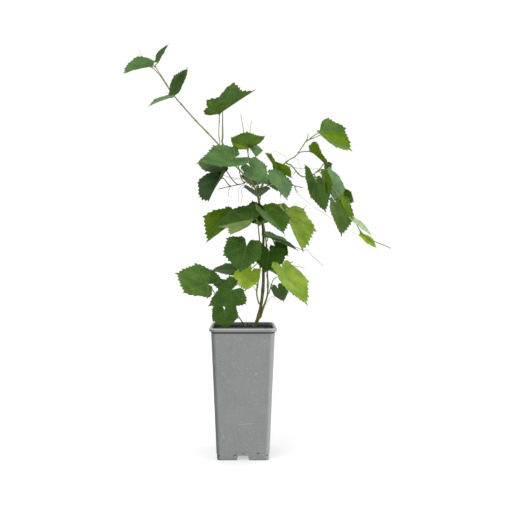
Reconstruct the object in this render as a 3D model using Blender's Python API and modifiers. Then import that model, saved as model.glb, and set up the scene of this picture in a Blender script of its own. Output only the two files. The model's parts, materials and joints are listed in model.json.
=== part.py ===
"""Young grapevine standing in a tall square nursery pot, built as separate named solids.

Lengths are in metres and +Z is up. The origin is the middle of the pot's underside, and -Y is
the front. The pot holds a block of potting soil. Woody stems rise from the soil, boughs leave
their top, and each mass of foliage is one solid: a shoot with its leaf stalks, blades and
tendrils joined to it, starting a hair's breadth clear of the limb that bears it.
"""

import math
import random
from collections import namedtuple

import bmesh
import bpy
from mathutils import Matrix, Vector
from mathutils.geometry import interpolate_bezier

GAP = 0.0003  # between neighbouring solids
WELD = 0.000001  # points closer than this are one
SMOOTH_ANGLE = math.radians(40)
SEED = 7

# The pot: a tapering square tub with a turned-out lip, standing on a notched skirt.
POT_HEIGHT = 0.305
POT_TOP_SIDE = 0.146
POT_FOOT_SIDE = 0.1215
POT_TOP_CORNER = 0.014
POT_FOOT_CORNER = 0.007
POT_WALL = 0.0025
LIP_SIDE = 0.156
LIP_HEIGHT = 0.008
LIP_ROUND = 0.0015
SKIRT_HEIGHT = 0.014
SKIRT_INSET = 0.001
SKIRT_WALL = 0.004
RECESS_HEIGHT = 0.0115
NOTCH_HEIGHT = 0.0105
NOTCH_FOOT_WIDTH = 0.033
NOTCH_TOP_WIDTH = 0.023
DRAIN_RADIUS = 0.006
DRAIN_OFFSET = 0.030
DRAIN_SIDES = 12
CORNER_STEPS = 3
INNER_CORNER = 0.8  # an inner corner's radius is less by this share of the wall

# The soil fills the pot to a little under its lip.
SOIL_TOP = 0.287

# Stems, stalks and tendrils.
TRUNK_FLARE = 0.45  # a stem is this much thicker where it leaves the soil
FLARE_REACH = 0.012
SHOOT_TAPER = 0.75
TWIG_TAPER = 0.6
STALK_RADIUS = 0.0009
STALK_FOOT = 1.2  # a leaf stalk is this much thicker where it leaves the shoot
STALK_LEAVES = 0.6  # how far a stalk's start turns towards the shoot's own heading
STALK_ARRIVES = 0.5  # how far its end turns towards the midrib
TENDRIL_RADIUS = 0.0006
SPUR = 0.0025  # a side limb leaves its parent square for this far
STALK_BEHIND = 0.002  # a leaf stalk passes this far behind the blade's base
STALK_SET_IN = 0.008  # a leaf stalk enters the blade this far along its midrib
STALK_PROUD = 0.0008  # and stands this far out of its upper face
CURVE_STEPS = 2
STALK_STEPS = 3
LIMB_SIDES = 6
SHOOT_SIDES = 4
TWIG_SIDES = 3

# The blade of a vine leaf, as angles from the midrib and shares of the midrib's length.
BLADE_THICKNESS = 0.001
LOBES = ((0, 1.00), (50, 0.86), (98, 0.71), (142, 0.45))
SINUS_DEPTH = 0.10
SINUS_SHAPE = 0.8
BASE_ANGLE = 160
BASE_REACH = 0.30
LOBE_RAYS = 3
BASE_RAYS = 1
BLADE_RINGS = 1
DROOP = 0.10
BASE_LIFT = 0.15
WAVE = 0.025
WAVES = 3
WAVE_SHIFT = 2.4  # from each leaf of a shoot to the next, so that no two ripple alike
FOLD_EASE = 0.06

# Tendrils that grow by rule opposite the leaves of a shoot.
TENDRIL_CHANCE = 0.3
TENDRIL_LENGTHS = (0.030, 0.050)
TENDRIL_STEPS = 4
TENDRIL_LIFT = 0.8  # how far a tendril leans along its shoot
TENDRIL_CURL = 2.2
LIMB_CLEARANCE = 0.006
SPACE_MARGIN = 0.006

# "at" is the share of the parent's or shoot's length where a limb, shoot, leaf or twig starts.
# A leaf's root and tip are the ends of its midrib, and its face is the way the upper side looks.
Limb = namedtuple("Limb", "name parent at path radius tip_radius colour")
Mass = namedtuple("Mass", "name parent at shoot radius leaves twigs colour")
Leaf = namedtuple("Leaf", "at root tip face fold width", defaults=(16, 1.0))
Twig = namedtuple("Twig", "at path radius")

BARK = (0.150, 0.085, 0.030)
GREEN_CANE = (0.190, 0.210, 0.050)
DEEP_LEAF = (0.040, 0.105, 0.022)
BLUE_LEAF = (0.095, 0.210, 0.090)
LIME_LEAF = (0.250, 0.380, 0.050)
POT_GREY = (0.262, 0.275, 0.262)
SOIL_BROWN = (0.045, 0.030, 0.020)

PLASTIC_ROUGHNESS = 0.55
SOIL_ROUGHNESS = 0.95
BARK_ROUGHNESS = 0.7
LEAF_ROUGHNESS = 0.5

LIMBS = (
    Limb("trunk", None, 0, (
        (0.025, 0.000, SOIL_TOP + GAP), (0.025, 0.000, 0.294), (0.037, 0.000, 0.325),
        (0.045, 0.000, 0.365), (0.049, 0.000, 0.414), (0.048, 0.000, 0.474),
        (0.049, 0.000, 0.522), (0.043, 0.000, 0.577), (0.037, 0.000, 0.611),
        (0.036, 0.000, 0.640),
    ), 0.0042, 0.0026, BARK),
    Limb("sucker", None, 0, (
        (0.0125, 0.002, SOIL_TOP + GAP), (0.0125, 0.002, 0.292), (-0.005, -0.008, 0.318),
        (-0.019, -0.018, 0.341),
    ), 0.0015, 0.0012, GREEN_CANE),
    Limb("second_stem", "trunk", 0.11, (
        (0.049, -0.002, 0.348), (0.059, -0.002, 0.380), (0.058, -0.004, 0.438),
        (0.056, -0.008, 0.498), (0.050, -0.010, 0.543),
    ), 0.0022, 0.0017, GREEN_CANE),
    Limb("climbing_stem", "trunk", 0.20, (
        (0.033, -0.002, 0.382), (0.037, -0.006, 0.414), (0.041, -0.009, 0.442),
        (0.041, -0.009, 0.486), (0.038, -0.006, 0.527), (0.035, -0.006, 0.553),
    ), 0.0018, 0.0014, GREEN_CANE),
    Limb("left_bough", "trunk", 0.97, (
        (0.018, 0.014, 0.652), (0.000, 0.028, 0.674), (-0.020, 0.042, 0.697),
        (-0.062, 0.070, 0.754), (-0.126, 0.100, 0.826), (-0.182, 0.120, 0.893),
    ), 0.0021, 0.0017, GREEN_CANE),
    Limb("right_bough", "trunk", 0.95, (
        (0.046, -0.006, 0.642), (0.062, -0.015, 0.659), (0.075, -0.020, 0.671),
        (0.088, -0.025, 0.681), (0.107, -0.030, 0.696),
    ), 0.0020, 0.0016, GREEN_CANE),
    Limb("hanging_bough", "right_bough", 0.93, (
        (0.113, -0.036, 0.683), (0.134, -0.058, 0.655), (0.156, -0.080, 0.649),
        (0.175, -0.095, 0.645), (0.195, -0.110, 0.625),
    ), 0.0015, 0.0013, GREEN_CANE),
)

MASSES = (
    Mass("foliage_left_tip", "left_bough", 1.0, (
        (-0.198, 0.130, 0.920), (-0.234, 0.146, 0.977), (-0.243, 0.140, 0.983),
    ), 0.0014, (
        Leaf(0.03, (-0.178, 0.090, 0.888), (-0.142, 0.075, 0.945), (-0.75, -0.38, 0.32), 10),
        Leaf(0.05, (-0.193, 0.150, 0.897), (-0.251, 0.156, 0.874), (-0.37, -0.16, 0.85), 20, 0.6),
        Leaf(0.50, (-0.245, 0.137, 0.971), (-0.315, 0.132, 0.955), (-0.15, -0.32, 0.81), 20),
        Leaf(0.85, (-0.221, 0.095, 0.971), (-0.192, 0.090, 1.015), (-0.77, -0.32, 0.39), 10, 0.85),
    ), (
        Twig(0.95, ((-0.258, 0.142, 0.994), (-0.268, 0.144, 1.004), (-0.277, 0.146, 1.023)), 0.0006),
    ), DEEP_LEAF),
    Mass("foliage_upper_left", "left_bough", 0.47, (
        (-0.061, 0.068, 0.780), (-0.060, 0.067, 0.810),
    ), 0.0012, (
        Leaf(1.0, (-0.059, 0.066, 0.832), (0.027, 0.020, 0.876), (-0.56, -0.10, 0.83), 31, 0.9),
    ), (
        Twig(0.3, ((-0.052, 0.068, 0.768), (-0.051, 0.066, 0.800), (-0.051, 0.066, 0.838)), 0.0012),
    ), DEEP_LEAF),
    Mass("foliage_top", "trunk", 1.0, (
        (0.028, -0.002, 0.672), (0.014, -0.010, 0.702), (0.011, -0.018, 0.722),
    ), 0.0014, (
        Leaf(1.0, (0.011, -0.022, 0.728), (0.009, 0.028, 0.770), (-0.20, 0.55, 0.80), -25),
        Leaf(0.8, (0.016, -0.034, 0.730), (0.028, -0.056, 0.699), (0.80, -0.47, 0.37), 18),
    ), (
        Twig(0.9, ((0.003, -0.026, 0.760), (-0.002, -0.028, 0.785), (-0.005, -0.030, 0.806)), 0.0006),
        Twig(0.9, ((0.016, -0.024, 0.752), (0.020, -0.026, 0.780)), 0.0006),
    ), BLUE_LEAF),
    Mass("foliage_crown_left", "trunk", 0.95, (
        (0.020, -0.004, 0.652), (0.000, -0.010, 0.644), (-0.020, -0.014, 0.639),
        (-0.042, -0.016, 0.634), (-0.058, -0.018, 0.630),
    ), 0.0013, (
        Leaf(0.45, (-0.020, -0.060, 0.697), (-0.096, -0.070, 0.692), (0.00, -0.51, 0.77), 11),
        Leaf(0.60, (-0.052, -0.020, 0.689), (-0.107, -0.026, 0.690), (0.00, -0.63, 0.66), 10),
        Leaf(0.75, (-0.050, -0.030, 0.654), (-0.091, -0.048, 0.604), (-0.54, -0.63, 0.40), 10, 1.1),
    ), (), BLUE_LEAF),
    Mass("foliage_crown_middle", "trunk", 0.86, (
        (0.034, -0.020, 0.625), (0.026, -0.034, 0.650), (0.020, -0.048, 0.668),
    ), 0.0013, (
        Leaf(1.0, (0.017, -0.060, 0.676), (0.055, -0.076, 0.632), (0.00, -0.95, 0.30), 25, 0.68),
        Leaf(0.0, (0.034, -0.022, 0.611), (0.026, -0.080, 0.606), (0.22, -0.05, 0.97), 27),
    ), (), BLUE_LEAF),
    Mass("foliage_crown_right", "right_bough", 0.60, (
        (0.082, -0.028, 0.658), (0.100, -0.022, 0.642), (0.118, -0.022, 0.638),
        (0.142, -0.026, 0.632),
    ), 0.0012, (
        Leaf(0.15, (0.062, -0.080, 0.648), (0.098, -0.094, 0.598), (0.64, -0.52, 0.44), 16),
        Leaf(0.05, (0.072, -0.040, 0.680), (0.054, -0.004, 0.717), (0.83, 0.26, 0.48), 20, 0.45),
        Leaf(0.10, (0.077, -0.045, 0.678), (0.114, -0.050, 0.653), (0.52, 0.34, 0.79), 22, 0.55),
        Leaf(0.45, (0.084, -0.030, 0.650), (0.088, -0.030, 0.602), (0.95, -0.25, 0.05), 12, 0.5),
    ), (
        Twig(0.80, ((0.122, -0.022, 0.634), (0.130, -0.024, 0.621)), 0.0012),
    ), BLUE_LEAF),
    Mass("foliage_arm_tip", "right_bough", 1.0, (
        (0.123, -0.035, 0.705), (0.137, -0.038, 0.724), (0.150, -0.040, 0.740),
        (0.165, -0.048, 0.748), (0.180, -0.056, 0.754),
    ), 0.0013, (
        Leaf(0.65, (0.178, -0.062, 0.759), (0.239, -0.100, 0.707), (0.38, -0.80, 0.35), 16, 0.9),
        Leaf(0.28, (0.158, -0.050, 0.719), (0.186, -0.060, 0.684), (0.63, -0.35, 0.56), 11, 0.8),
    ), (), BLUE_LEAF),
    Mass("foliage_hanging_inner", "hanging_bough", 0.62, (
        (0.162, -0.086, 0.657), (0.172, -0.092, 0.664),
    ), 0.0012, (
        Leaf(0.30, (0.158, -0.105, 0.639), (0.179, -0.125, 0.568), (-0.15, -0.98, 0.05), 32, 0.55),
        Leaf(0.60, (0.177, -0.122, 0.650), (0.190, -0.120, 0.599), (0.95, 0.15, 0.20), 20, 0.3),
        Leaf(0.90, (0.193, -0.080, 0.656), (0.215, -0.095, 0.587), (0.25, -0.95, 0.10), 8, 0.42),
        Leaf(0.80, (0.193, -0.060, 0.687), (0.189, -0.066, 0.656), (0.75, -0.60, 0.10), 16, 0.9),
    ), (), DEEP_LEAF),
    Mass("foliage_hanging_outer", "hanging_bough", 1.0, (
        (0.215, -0.120, 0.595), (0.239, -0.135, 0.554), (0.255, -0.150, 0.519),
        (0.281, -0.160, 0.500), (0.299, -0.165, 0.492), (0.312, -0.170, 0.485),
    ), 0.0012, (
        Leaf(0.30, (0.221, -0.062, 0.615), (0.253, -0.068, 0.601), (-0.14, -0.93, -0.34), 22, 0.85),
        Leaf(0.18, (0.203, -0.122, 0.586), (0.213, -0.140, 0.516), (0.51, -0.76, 0.09), 20, 0.75),
        Leaf(0.25, (0.213, -0.150, 0.594), (0.236, -0.156, 0.544), (-0.75, -0.55, 0.35), 10, 0.5),
        Leaf(0.45, (0.239, -0.140, 0.549), (0.275, -0.150, 0.514), (0.64, -0.34, 0.69), 10, 0.5),
        Leaf(0.62, (0.253, -0.152, 0.514), (0.283, -0.162, 0.487), (0.56, -0.50, 0.67), 10, 0.55),
    ), (), LIME_LEAF),
    Mass("foliage_middle_left", "second_stem", 1.0, (
        (0.046, -0.016, 0.556), (0.036, -0.030, 0.561),
    ), 0.0015, (
        Leaf(1.0, (0.021, -0.062, 0.554), (-0.060, -0.086, 0.538), (-0.14, -0.45, 0.84), 15, 0.9),
        Leaf(0.5, (-0.024, 0.000, 0.555), (-0.089, -0.006, 0.510), (-0.25, -0.87, 0.33), 22, 0.9),
        Leaf(0.8, (0.031, -0.034, 0.561), (0.023, -0.012, 0.602), (0.10, -0.88, -0.45), 12, 0.75),
    ), (), DEEP_LEAF),
    Mass("foliage_middle_right", "trunk", 0.84, (
        (0.060, -0.014, 0.582), (0.078, -0.022, 0.580), (0.092, -0.020, 0.576),
    ), 0.0014, (
        Leaf(1.0, (0.105, 0.000, 0.573), (0.138, -0.048, 0.485), (0.70, -0.60, 0.30), 24, 0.85),
        Leaf(0.4, (0.062, -0.098, 0.559), (0.082, -0.118, 0.520), (0.50, -0.80, 0.35), 15),
        Leaf(0.7, (0.094, 0.030, 0.581), (0.075, 0.055, 0.604), (-0.30, -0.70, 0.55), 14, 0.9),
    ), (), LIME_LEAF),
    Mass("foliage_side_right", "second_stem", 0.84, (
        (0.062, -0.016, 0.520), (0.071, -0.018, 0.510),
    ), 0.0012, (
        Leaf(0.3, (0.059, -0.058, 0.517), (0.123, -0.075, 0.486), (0.42, -0.09, 0.90), 8, 0.6),
        Leaf(1.0, (0.079, -0.010, 0.495), (0.107, -0.022, 0.474), (0.10, -0.80, 0.55), 12, 0.8),
    ), (
        Twig(0.9, ((0.100, -0.030, 0.500), (0.128, -0.046, 0.489), (0.141, -0.050, 0.483)), 0.0008),
    ), DEEP_LEAF),
    Mass("foliage_low_middle", "climbing_stem", 0.70, (
        (0.038, -0.026, 0.488), (0.040, -0.036, 0.492),
    ), 0.0013, (
        Leaf(1.0, (0.008, -0.070, 0.493), (-0.006, -0.088, 0.438), (-0.30, -0.90, 0.20), 16, 1.1),
        Leaf(0.8, (0.061, -0.038, 0.482), (0.052, -0.050, 0.437), (0.10, -0.92, 0.30), 20, 1.1),
    ), (), DEEP_LEAF),
    Mass("foliage_low_centre", "climbing_stem", 0.25, (
        (0.022, -0.012, 0.405), (0.010, -0.018, 0.420),
    ), 0.0011, (
        Leaf(0.5, (0.020, -0.046, 0.435), (0.006, -0.060, 0.392), (-0.10, -0.95, 0.20), 20, 0.85),
        Leaf(1.0, (-0.005, 0.020, 0.435), (-0.075, 0.016, 0.437), (0.00, -0.37, 0.93), 5, 0.8),
    ), (), LIME_LEAF),
    Mass("foliage_low_left", "sucker", 1.0, (
        (-0.030, -0.030, 0.356), (-0.044, -0.040, 0.370), (-0.060, -0.045, 0.378),
    ), 0.0011, (
        Leaf(0.05, (-0.043, -0.046, 0.345), (-0.038, -0.058, 0.305), (-0.05, -0.90, 0.35), 10),
        Leaf(0.55, (-0.025, -0.072, 0.393), (-0.075, -0.088, 0.359), (0.19, -0.94, -0.28), 20, 0.95),
        Leaf(1.0, (-0.082, -0.050, 0.406), (-0.157, -0.062, 0.431), (0.18, -0.81, 0.56), 5, 0.8),
    ), (), DEEP_LEAF),
    Mass("foliage_low_right", "second_stem", 0.28, (
        (0.072, -0.016, 0.414), (0.084, -0.034, 0.424), (0.090, -0.048, 0.436),
    ), 0.0012, (
        Leaf(0.3, (0.084, -0.010, 0.393), (0.096, -0.020, 0.364), (0.20, -0.90, 0.30), 20, 0.9),
        Leaf(1.0, (0.091, -0.078, 0.442), (0.141, -0.105, 0.364), (0.62, -0.67, 0.42), 9, 0.65),
    ), (), LIME_LEAF),
    Mass("foliage_back_low", "trunk", 0.52, (
        (0.046, 0.020, 0.462), (0.040, 0.045, 0.466),
    ), 0.0013, (
        Leaf(1.0, (0.034, 0.075, 0.466), (0.008, 0.135, 0.456), (-0.10, 0.45, 0.88), 14),
        Leaf(0.8, (0.094, 0.070, 0.430), (0.122, 0.130, 0.408), (0.30, 0.45, 0.84), 14),
        Leaf(0.5, (-0.020, 0.050, 0.404), (-0.048, 0.105, 0.380), (-0.30, 0.40, 0.86), 14),
    ), (), DEEP_LEAF),
    Mass("foliage_back_middle", "trunk", 0.72, (
        (0.044, 0.020, 0.556), (0.040, 0.045, 0.566),
    ), 0.0013, (
        Leaf(1.0, (0.048, 0.085, 0.572), (0.044, 0.160, 0.556), (0.00, 0.45, 0.88), 14),
        Leaf(0.8, (0.004, 0.070, 0.562), (-0.040, 0.120, 0.550), (-0.35, 0.40, 0.85), 14),
        Leaf(0.6, (0.104, 0.082, 0.550), (0.144, 0.132, 0.528), (0.35, 0.40, 0.85), 14),
    ), (), DEEP_LEAF),
    Mass("foliage_back_high", "trunk", 0.90, (
        (0.046, 0.022, 0.634), (0.050, 0.045, 0.648),
    ), 0.0013, (
        Leaf(1.0, (0.050, 0.080, 0.668), (0.036, 0.150, 0.660), (-0.05, 0.45, 0.88), 14),
        Leaf(0.7, (0.096, 0.066, 0.652), (0.116, 0.128, 0.634), (0.30, 0.45, 0.84), 14),
    ), (), BLUE_LEAF),
)


# Paths


def tangents(points):
    """The direction of travel at each point of a path."""
    behind = points[:1] + points[:-1]
    ahead = points[1:] + points[-1:]
    return [(after - before).normalized() for before, after in zip(behind, ahead)]


def smooth_path(points, steps=CURVE_STEPS):
    """A smooth curve through the points, with this many steps from each to the next."""
    points = [Vector(point) for point in points]
    heading = tangents(points)
    path = []
    for i in range(len(points) - 1):
        start, end = points[i], points[i + 1]
        reach = (end - start).length / 3
        handles = start + heading[i] * reach, end - heading[i + 1] * reach
        path += interpolate_bezier(start, *handles, end, steps + 1)[:-1]
    return path + points[-1:]


def lengths_along(path):
    """How far each point of a path lies from its start, measured along it."""
    total = [0.0]
    for start, end in zip(path, path[1:]):
        total.append(total[-1] + (end - start).length)
    return total


def span_at(path, distance):
    """Which span of a path a distance along it falls in, and how far through that span."""
    total = lengths_along(path)
    i = max(j for j in range(len(path) - 1) if total[j] <= distance or j == 0)
    return i, (distance - total[i]) / (total[i + 1] - total[i])


def walk(path, distance):
    """The place and heading at a distance along a path."""
    i, share = span_at(path, distance)
    return path[i].lerp(path[i + 1], share), (path[i + 1] - path[i]).normalized()


def place_on(shoot, at):
    """The place and heading at a share of a shoot's length, kept off its two ends."""
    total = lengths_along(shoot)[-1]
    return walk(shoot, min(max(at * total, SPUR), total - SPUR / 2))


def taper(path, radius, tip_radius, flare=0.0):
    """A radius for each point, from radius to tip_radius, with a root flare at the start."""
    total = lengths_along(path)
    return [
        (radius + (tip_radius - radius) * far / total[-1])
        * (1 + flare * math.exp(-far / FLARE_REACH))
        for far in total
    ]


def leave_parent(parent, at, toward):
    """Where a limb starts, a gap clear of its parent's side or tip, and its heading there."""
    path, radii = parent
    distance = lengths_along(path)[-1] * at
    spot, along = walk(path, distance)
    if at == 1:
        return spot + along * GAP, along
    outward = (Vector(toward) - spot).normalized()
    outward = (outward - outward.project(along)).normalized()
    i, share = span_at(path, distance)
    radius = radii[i] + (radii[i + 1] - radii[i]) * share
    return spot + outward * (radius + GAP), outward


def grown_path(row, limbs, points):
    """The path of a limb or shoot: from the soil, or from its parent by way of a short spur."""
    if row.parent is None:
        foot = Vector(points[0])
        return [foot, *smooth_path([foot + Vector((0, 0, SPUR)), *points[1:]])]
    start, outward = leave_parent(limbs[row.parent], row.at, points[0])
    return smooth_path([start, start + outward * SPUR, *points])


# Making meshes


def put_in(obj, collection):
    """Links an object to a collection. A helper is drawn as wire and isn't rendered."""
    collection.objects.link(obj)
    if collection.hide_render:
        obj.hide_render = True
        obj.display_type = "WIRE"


def own_mesh(obj):
    """The object with its curve or modifiers turned into a plain mesh of its own."""
    graph = bpy.context.evaluated_depsgraph_get()
    mesh = bpy.data.meshes.new_from_object(obj.evaluated_get(graph))
    made = bpy.data.objects.new(obj.name, mesh)
    made.matrix_world = obj.matrix_world
    put_in(made, obj.users_collection[0])
    name = obj.name
    bpy.data.objects.remove(obj)
    made.name = name
    work = bmesh.new()
    work.from_mesh(mesh)
    bmesh.ops.remove_doubles(work, verts=work.verts, dist=WELD)
    bmesh.ops.recalc_face_normals(work, faces=work.faces)
    work.to_mesh(mesh)
    work.free()
    return made


def poly_curve(name, path, radii, collection):
    """A curve object with straight runs between the points of a path."""
    curve = bpy.data.curves.new(name, "CURVE")
    curve.dimensions = "3D"
    spline = curve.splines.new("POLY")
    spline.points.add(len(path) - 1)
    for point, place, radius in zip(spline.points, path, radii):
        point.co = (*place, 1)
        point.radius = radius
    obj = bpy.data.objects.new(name, curve)
    put_in(obj, collection)
    return obj


def tube(name, path, radii, sides, collection):
    """A tube along a path, with this many sides and filled ends."""
    turns = [math.tau * side / sides for side in range(sides)]
    ring = [(math.cos(turn), math.sin(turn), 0) for turn in turns]
    profile = poly_curve("profile", ring, [1] * sides, collection)
    profile.data.splines[0].use_cyclic_u = True
    obj = poly_curve(name, path, radii, collection)
    obj.data.bevel_mode = "OBJECT"
    obj.data.bevel_object = profile
    obj.data.use_fill_caps = True
    made = own_mesh(obj)
    bpy.data.objects.remove(profile)
    return made


def mesh_object(name, work, collection):
    """An object made from a bmesh, which is freed."""
    mesh = bpy.data.meshes.new(name)
    bmesh.ops.recalc_face_normals(work, faces=work.faces)
    work.to_mesh(mesh)
    work.free()
    obj = bpy.data.objects.new(name, mesh)
    put_in(obj, collection)
    return obj


def paint(obj, colour, roughness):
    """Gives an object its own material and smooth shading."""
    material = bpy.data.materials.new(obj.name)
    material.use_nodes = True
    shader = material.node_tree.nodes["Principled BSDF"]
    shader.inputs["Base Color"].default_value = (*colour, 1)
    shader.inputs["Roughness"].default_value = roughness
    shader.inputs["Metallic"].default_value = 0
    obj.data.materials.clear()
    obj.data.materials.append(material)
    obj.data.shade_smooth()
    obj.data.set_sharp_from_angle(angle=SMOOTH_ANGLE)


def combine(base, helpers, operation):
    """One Boolean of a collection on the base, applied, with the collection's objects removed."""
    modifier = base.modifiers.new("Combine", "BOOLEAN")
    modifier.operation = operation
    modifier.operand_type = "COLLECTION"
    modifier.collection = helpers
    modifier.solver = "EXACT"
    made = own_mesh(base)
    for helper in list(helpers.objects):
        bpy.data.objects.remove(helper)
    return made


# The pot and its soil


def square_ring(work, side, corner, height):
    """A level square loop of edges with round corners."""
    middle = side / 2 - corner
    verts = []
    for quarter in range(4):
        for step in range(CORNER_STEPS + 1):
            turn = math.radians(90) * (quarter + step / CORNER_STEPS)
            sign_x = 1 if quarter in (0, 3) else -1
            sign_y = 1 if quarter in (0, 1) else -1
            x = sign_x * middle + corner * math.cos(turn)
            y = sign_y * middle + corner * math.sin(turn)
            verts.append(work.verts.new((x, y, height)))
    return [work.edges.new(pair) for pair in zip(verts, verts[1:] + verts[:1])]


def loft(name, sections, collection):
    """A solid through level rounded squares, each given as its side, corner and height."""
    work = bmesh.new()
    rings = [square_ring(work, *section) for section in sections]
    for lower, upper in zip(rings, rings[1:]):
        bmesh.ops.bridge_loops(work, edges=lower + upper)
    bmesh.ops.holes_fill(work, edges=rings[0] + rings[-1])
    return mesh_object(name, work, collection)


def wall_section(height, inside=0.0):
    """The pot's side and corner at a height, taken in from its outer face by a distance."""
    share = height / POT_HEIGHT
    side = POT_FOOT_SIDE + (POT_TOP_SIDE - POT_FOOT_SIDE) * share
    corner = POT_FOOT_CORNER + (POT_TOP_CORNER - POT_FOOT_CORNER) * share
    return side - 2 * inside, corner - inside * INNER_CORNER, height


def skirt_section(height):
    """The skirt's side and corner at a height, set in a little from the line of the wall."""
    side, corner, height = wall_section(height)
    return side - 2 * SKIRT_INSET, corner - SKIRT_INSET, height


def notch_cutter(name, turned, cutters):
    """A bar with sloping sides that cuts a notch in the middle of two opposite skirt walls."""
    work = bmesh.new()
    bmesh.ops.create_cube(work, size=1)
    for vert in work.verts:
        top = vert.co.z > 0
        vert.co.x *= NOTCH_TOP_WIDTH if top else NOTCH_FOOT_WIDTH
        vert.co.y *= LIP_SIDE
        vert.co.z = NOTCH_HEIGHT if top else -LIP_HEIGHT
    cutter = mesh_object(name, work, cutters)
    cutter.rotation_euler.z = math.radians(90) if turned else 0


def drain_cutter(name, x, y, cutters):
    """A round bar that cuts a drain hole through the pot's floor."""
    work = bmesh.new()
    bmesh.ops.create_cone(
        work,
        segments=DRAIN_SIDES,
        radius1=DRAIN_RADIUS,
        radius2=DRAIN_RADIUS,
        depth=LIP_SIDE / 2,
        cap_ends=True,
    )
    cutter = mesh_object(name, work, cutters)
    cutter.location = (x, y, 0)


def pot(parts, cutters):
    """A tapering square tub with a lip, a recessed floor with drain holes, and a notched skirt."""
    lip_foot = POT_HEIGHT - LIP_HEIGHT
    lip_corner = POT_TOP_CORNER + (LIP_SIDE - POT_TOP_SIDE) / 2
    body = loft("pot", (
        skirt_section(0),
        skirt_section(SKIRT_HEIGHT - SKIRT_INSET),
        wall_section(SKIRT_HEIGHT),
        wall_section(lip_foot),
        (LIP_SIDE - LIP_ROUND, lip_corner, lip_foot),
        (LIP_SIDE, lip_corner, lip_foot + LIP_ROUND),
        (LIP_SIDE, lip_corner, POT_HEIGHT - LIP_ROUND),
        (LIP_SIDE - 2 * LIP_ROUND, lip_corner - LIP_ROUND, POT_HEIGHT),
    ), parts)
    floor_top = RECESS_HEIGHT + POT_WALL
    rim_side, rim_corner, _ = wall_section(POT_HEIGHT, POT_WALL - LIP_ROUND)
    loft("pot inside", (
        wall_section(floor_top, POT_WALL),
        wall_section(POT_HEIGHT - LIP_ROUND, POT_WALL),
        (rim_side, rim_corner, POT_HEIGHT),
        (rim_side, rim_corner, POT_HEIGHT + LIP_HEIGHT),
    ), cutters)
    loft("recess", (
        wall_section(-LIP_HEIGHT, SKIRT_WALL),
        wall_section(RECESS_HEIGHT, SKIRT_WALL),
    ), cutters)
    for turned in (False, True):
        notch_cutter(f"notch {turned}", turned, cutters)
    for x in (-DRAIN_OFFSET, DRAIN_OFFSET):
        for y in (-DRAIN_OFFSET, DRAIN_OFFSET):
            drain_cutter("drain", x, y, cutters)
    paint(combine(body, cutters, "DIFFERENCE"), POT_GREY, PLASTIC_ROUGHNESS)


def soil(parts):
    """The block of potting soil, a gap clear of the pot's walls and floor."""
    inside = POT_WALL + GAP
    block = loft("soil", (
        wall_section(RECESS_HEIGHT + POT_WALL + GAP, inside),
        wall_section(SOIL_TOP, inside),
    ), parts)
    paint(block, SOIL_BROWN, SOIL_ROUGHNESS)


# The plant


def grow_limbs(parts):
    """Every stem and bough as a tapering tube. Returns each one's path and radii by name."""
    limbs = {}
    for row in LIMBS:
        path = grown_path(row, limbs, row.path)
        flare = TRUNK_FLARE if row.parent is None else 0
        radii = taper(path, row.radius, row.tip_radius, flare)
        paint(tube(row.name, path, radii, LIMB_SIDES, parts), row.colour, BARK_ROUGHNESS)
        limbs[row.name] = (path, radii)
    return limbs


def outline(angle):
    """The blade's reach at an angle from its midrib, in degrees, as a share of the midrib."""
    angle = abs(angle)
    for (start, near), (end, far) in zip(LOBES, LOBES[1:]):
        if angle <= end:
            share = (angle - start) / (end - start)
            ease = share * share * (3 - 2 * share)
            sinus = SINUS_DEPTH * math.sin(math.pi * share) ** SINUS_SHAPE
            return near + (far - near) * ease - sinus
    last_angle, last = LOBES[-1]
    share = (angle - last_angle) / (BASE_ANGLE - last_angle)
    return last + (BASE_REACH - last) * share


def blade_frame(leaf):
    """The blade's midrib, side and face directions where its stalk meets it, and its length."""
    chord = Vector(leaf.tip) - Vector(leaf.root)
    side = chord.cross(Vector(leaf.face)).normalized()
    face = side.cross(chord).normalized()
    slope = math.atan(DROOP)
    midrib = chord.normalized() * math.cos(slope) + face * math.sin(slope)
    face = side.cross(midrib).normalized()
    return midrib, side, face, chord.length * math.cos(slope)


def blade_point(leaf, phase, angle, share):
    """A place on the blade, at an angle from the midrib and a share of the way to its edge."""
    midrib, side, face, length = blade_frame(leaf)
    turn = math.radians(angle)
    reach = outline(angle) * share
    along = reach * math.cos(turn)
    across = reach * math.sin(turn) * leaf.width
    fold = math.radians(leaf.fold)
    rise = (math.hypot(across, FOLD_EASE) - FOLD_EASE) * math.sin(fold)
    rise -= DROOP * along * abs(along)
    rise += BASE_LIFT * max(-along, 0)
    rise += WAVE * share**2 * math.sin(WAVES * turn + phase) * (1 - math.cos(turn)) / 2
    offset = midrib * along + side * across * math.cos(fold) + face * rise
    return Vector(leaf.root) + offset * length


def ray_angles():
    """The angles of the blade's rays: several from each lobe to the next, on both sides."""
    half = [
        start + (end - start) * step / LOBE_RAYS
        for (start, _), (end, _) in zip(LOBES, LOBES[1:])
        for step in range(LOBE_RAYS)
    ]
    last = LOBES[-1][0]
    half += [last + (BASE_ANGLE - last) * step / BASE_RAYS for step in range(BASE_RAYS + 1)]
    return [-angle for angle in reversed(half[1:])] + half


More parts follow.
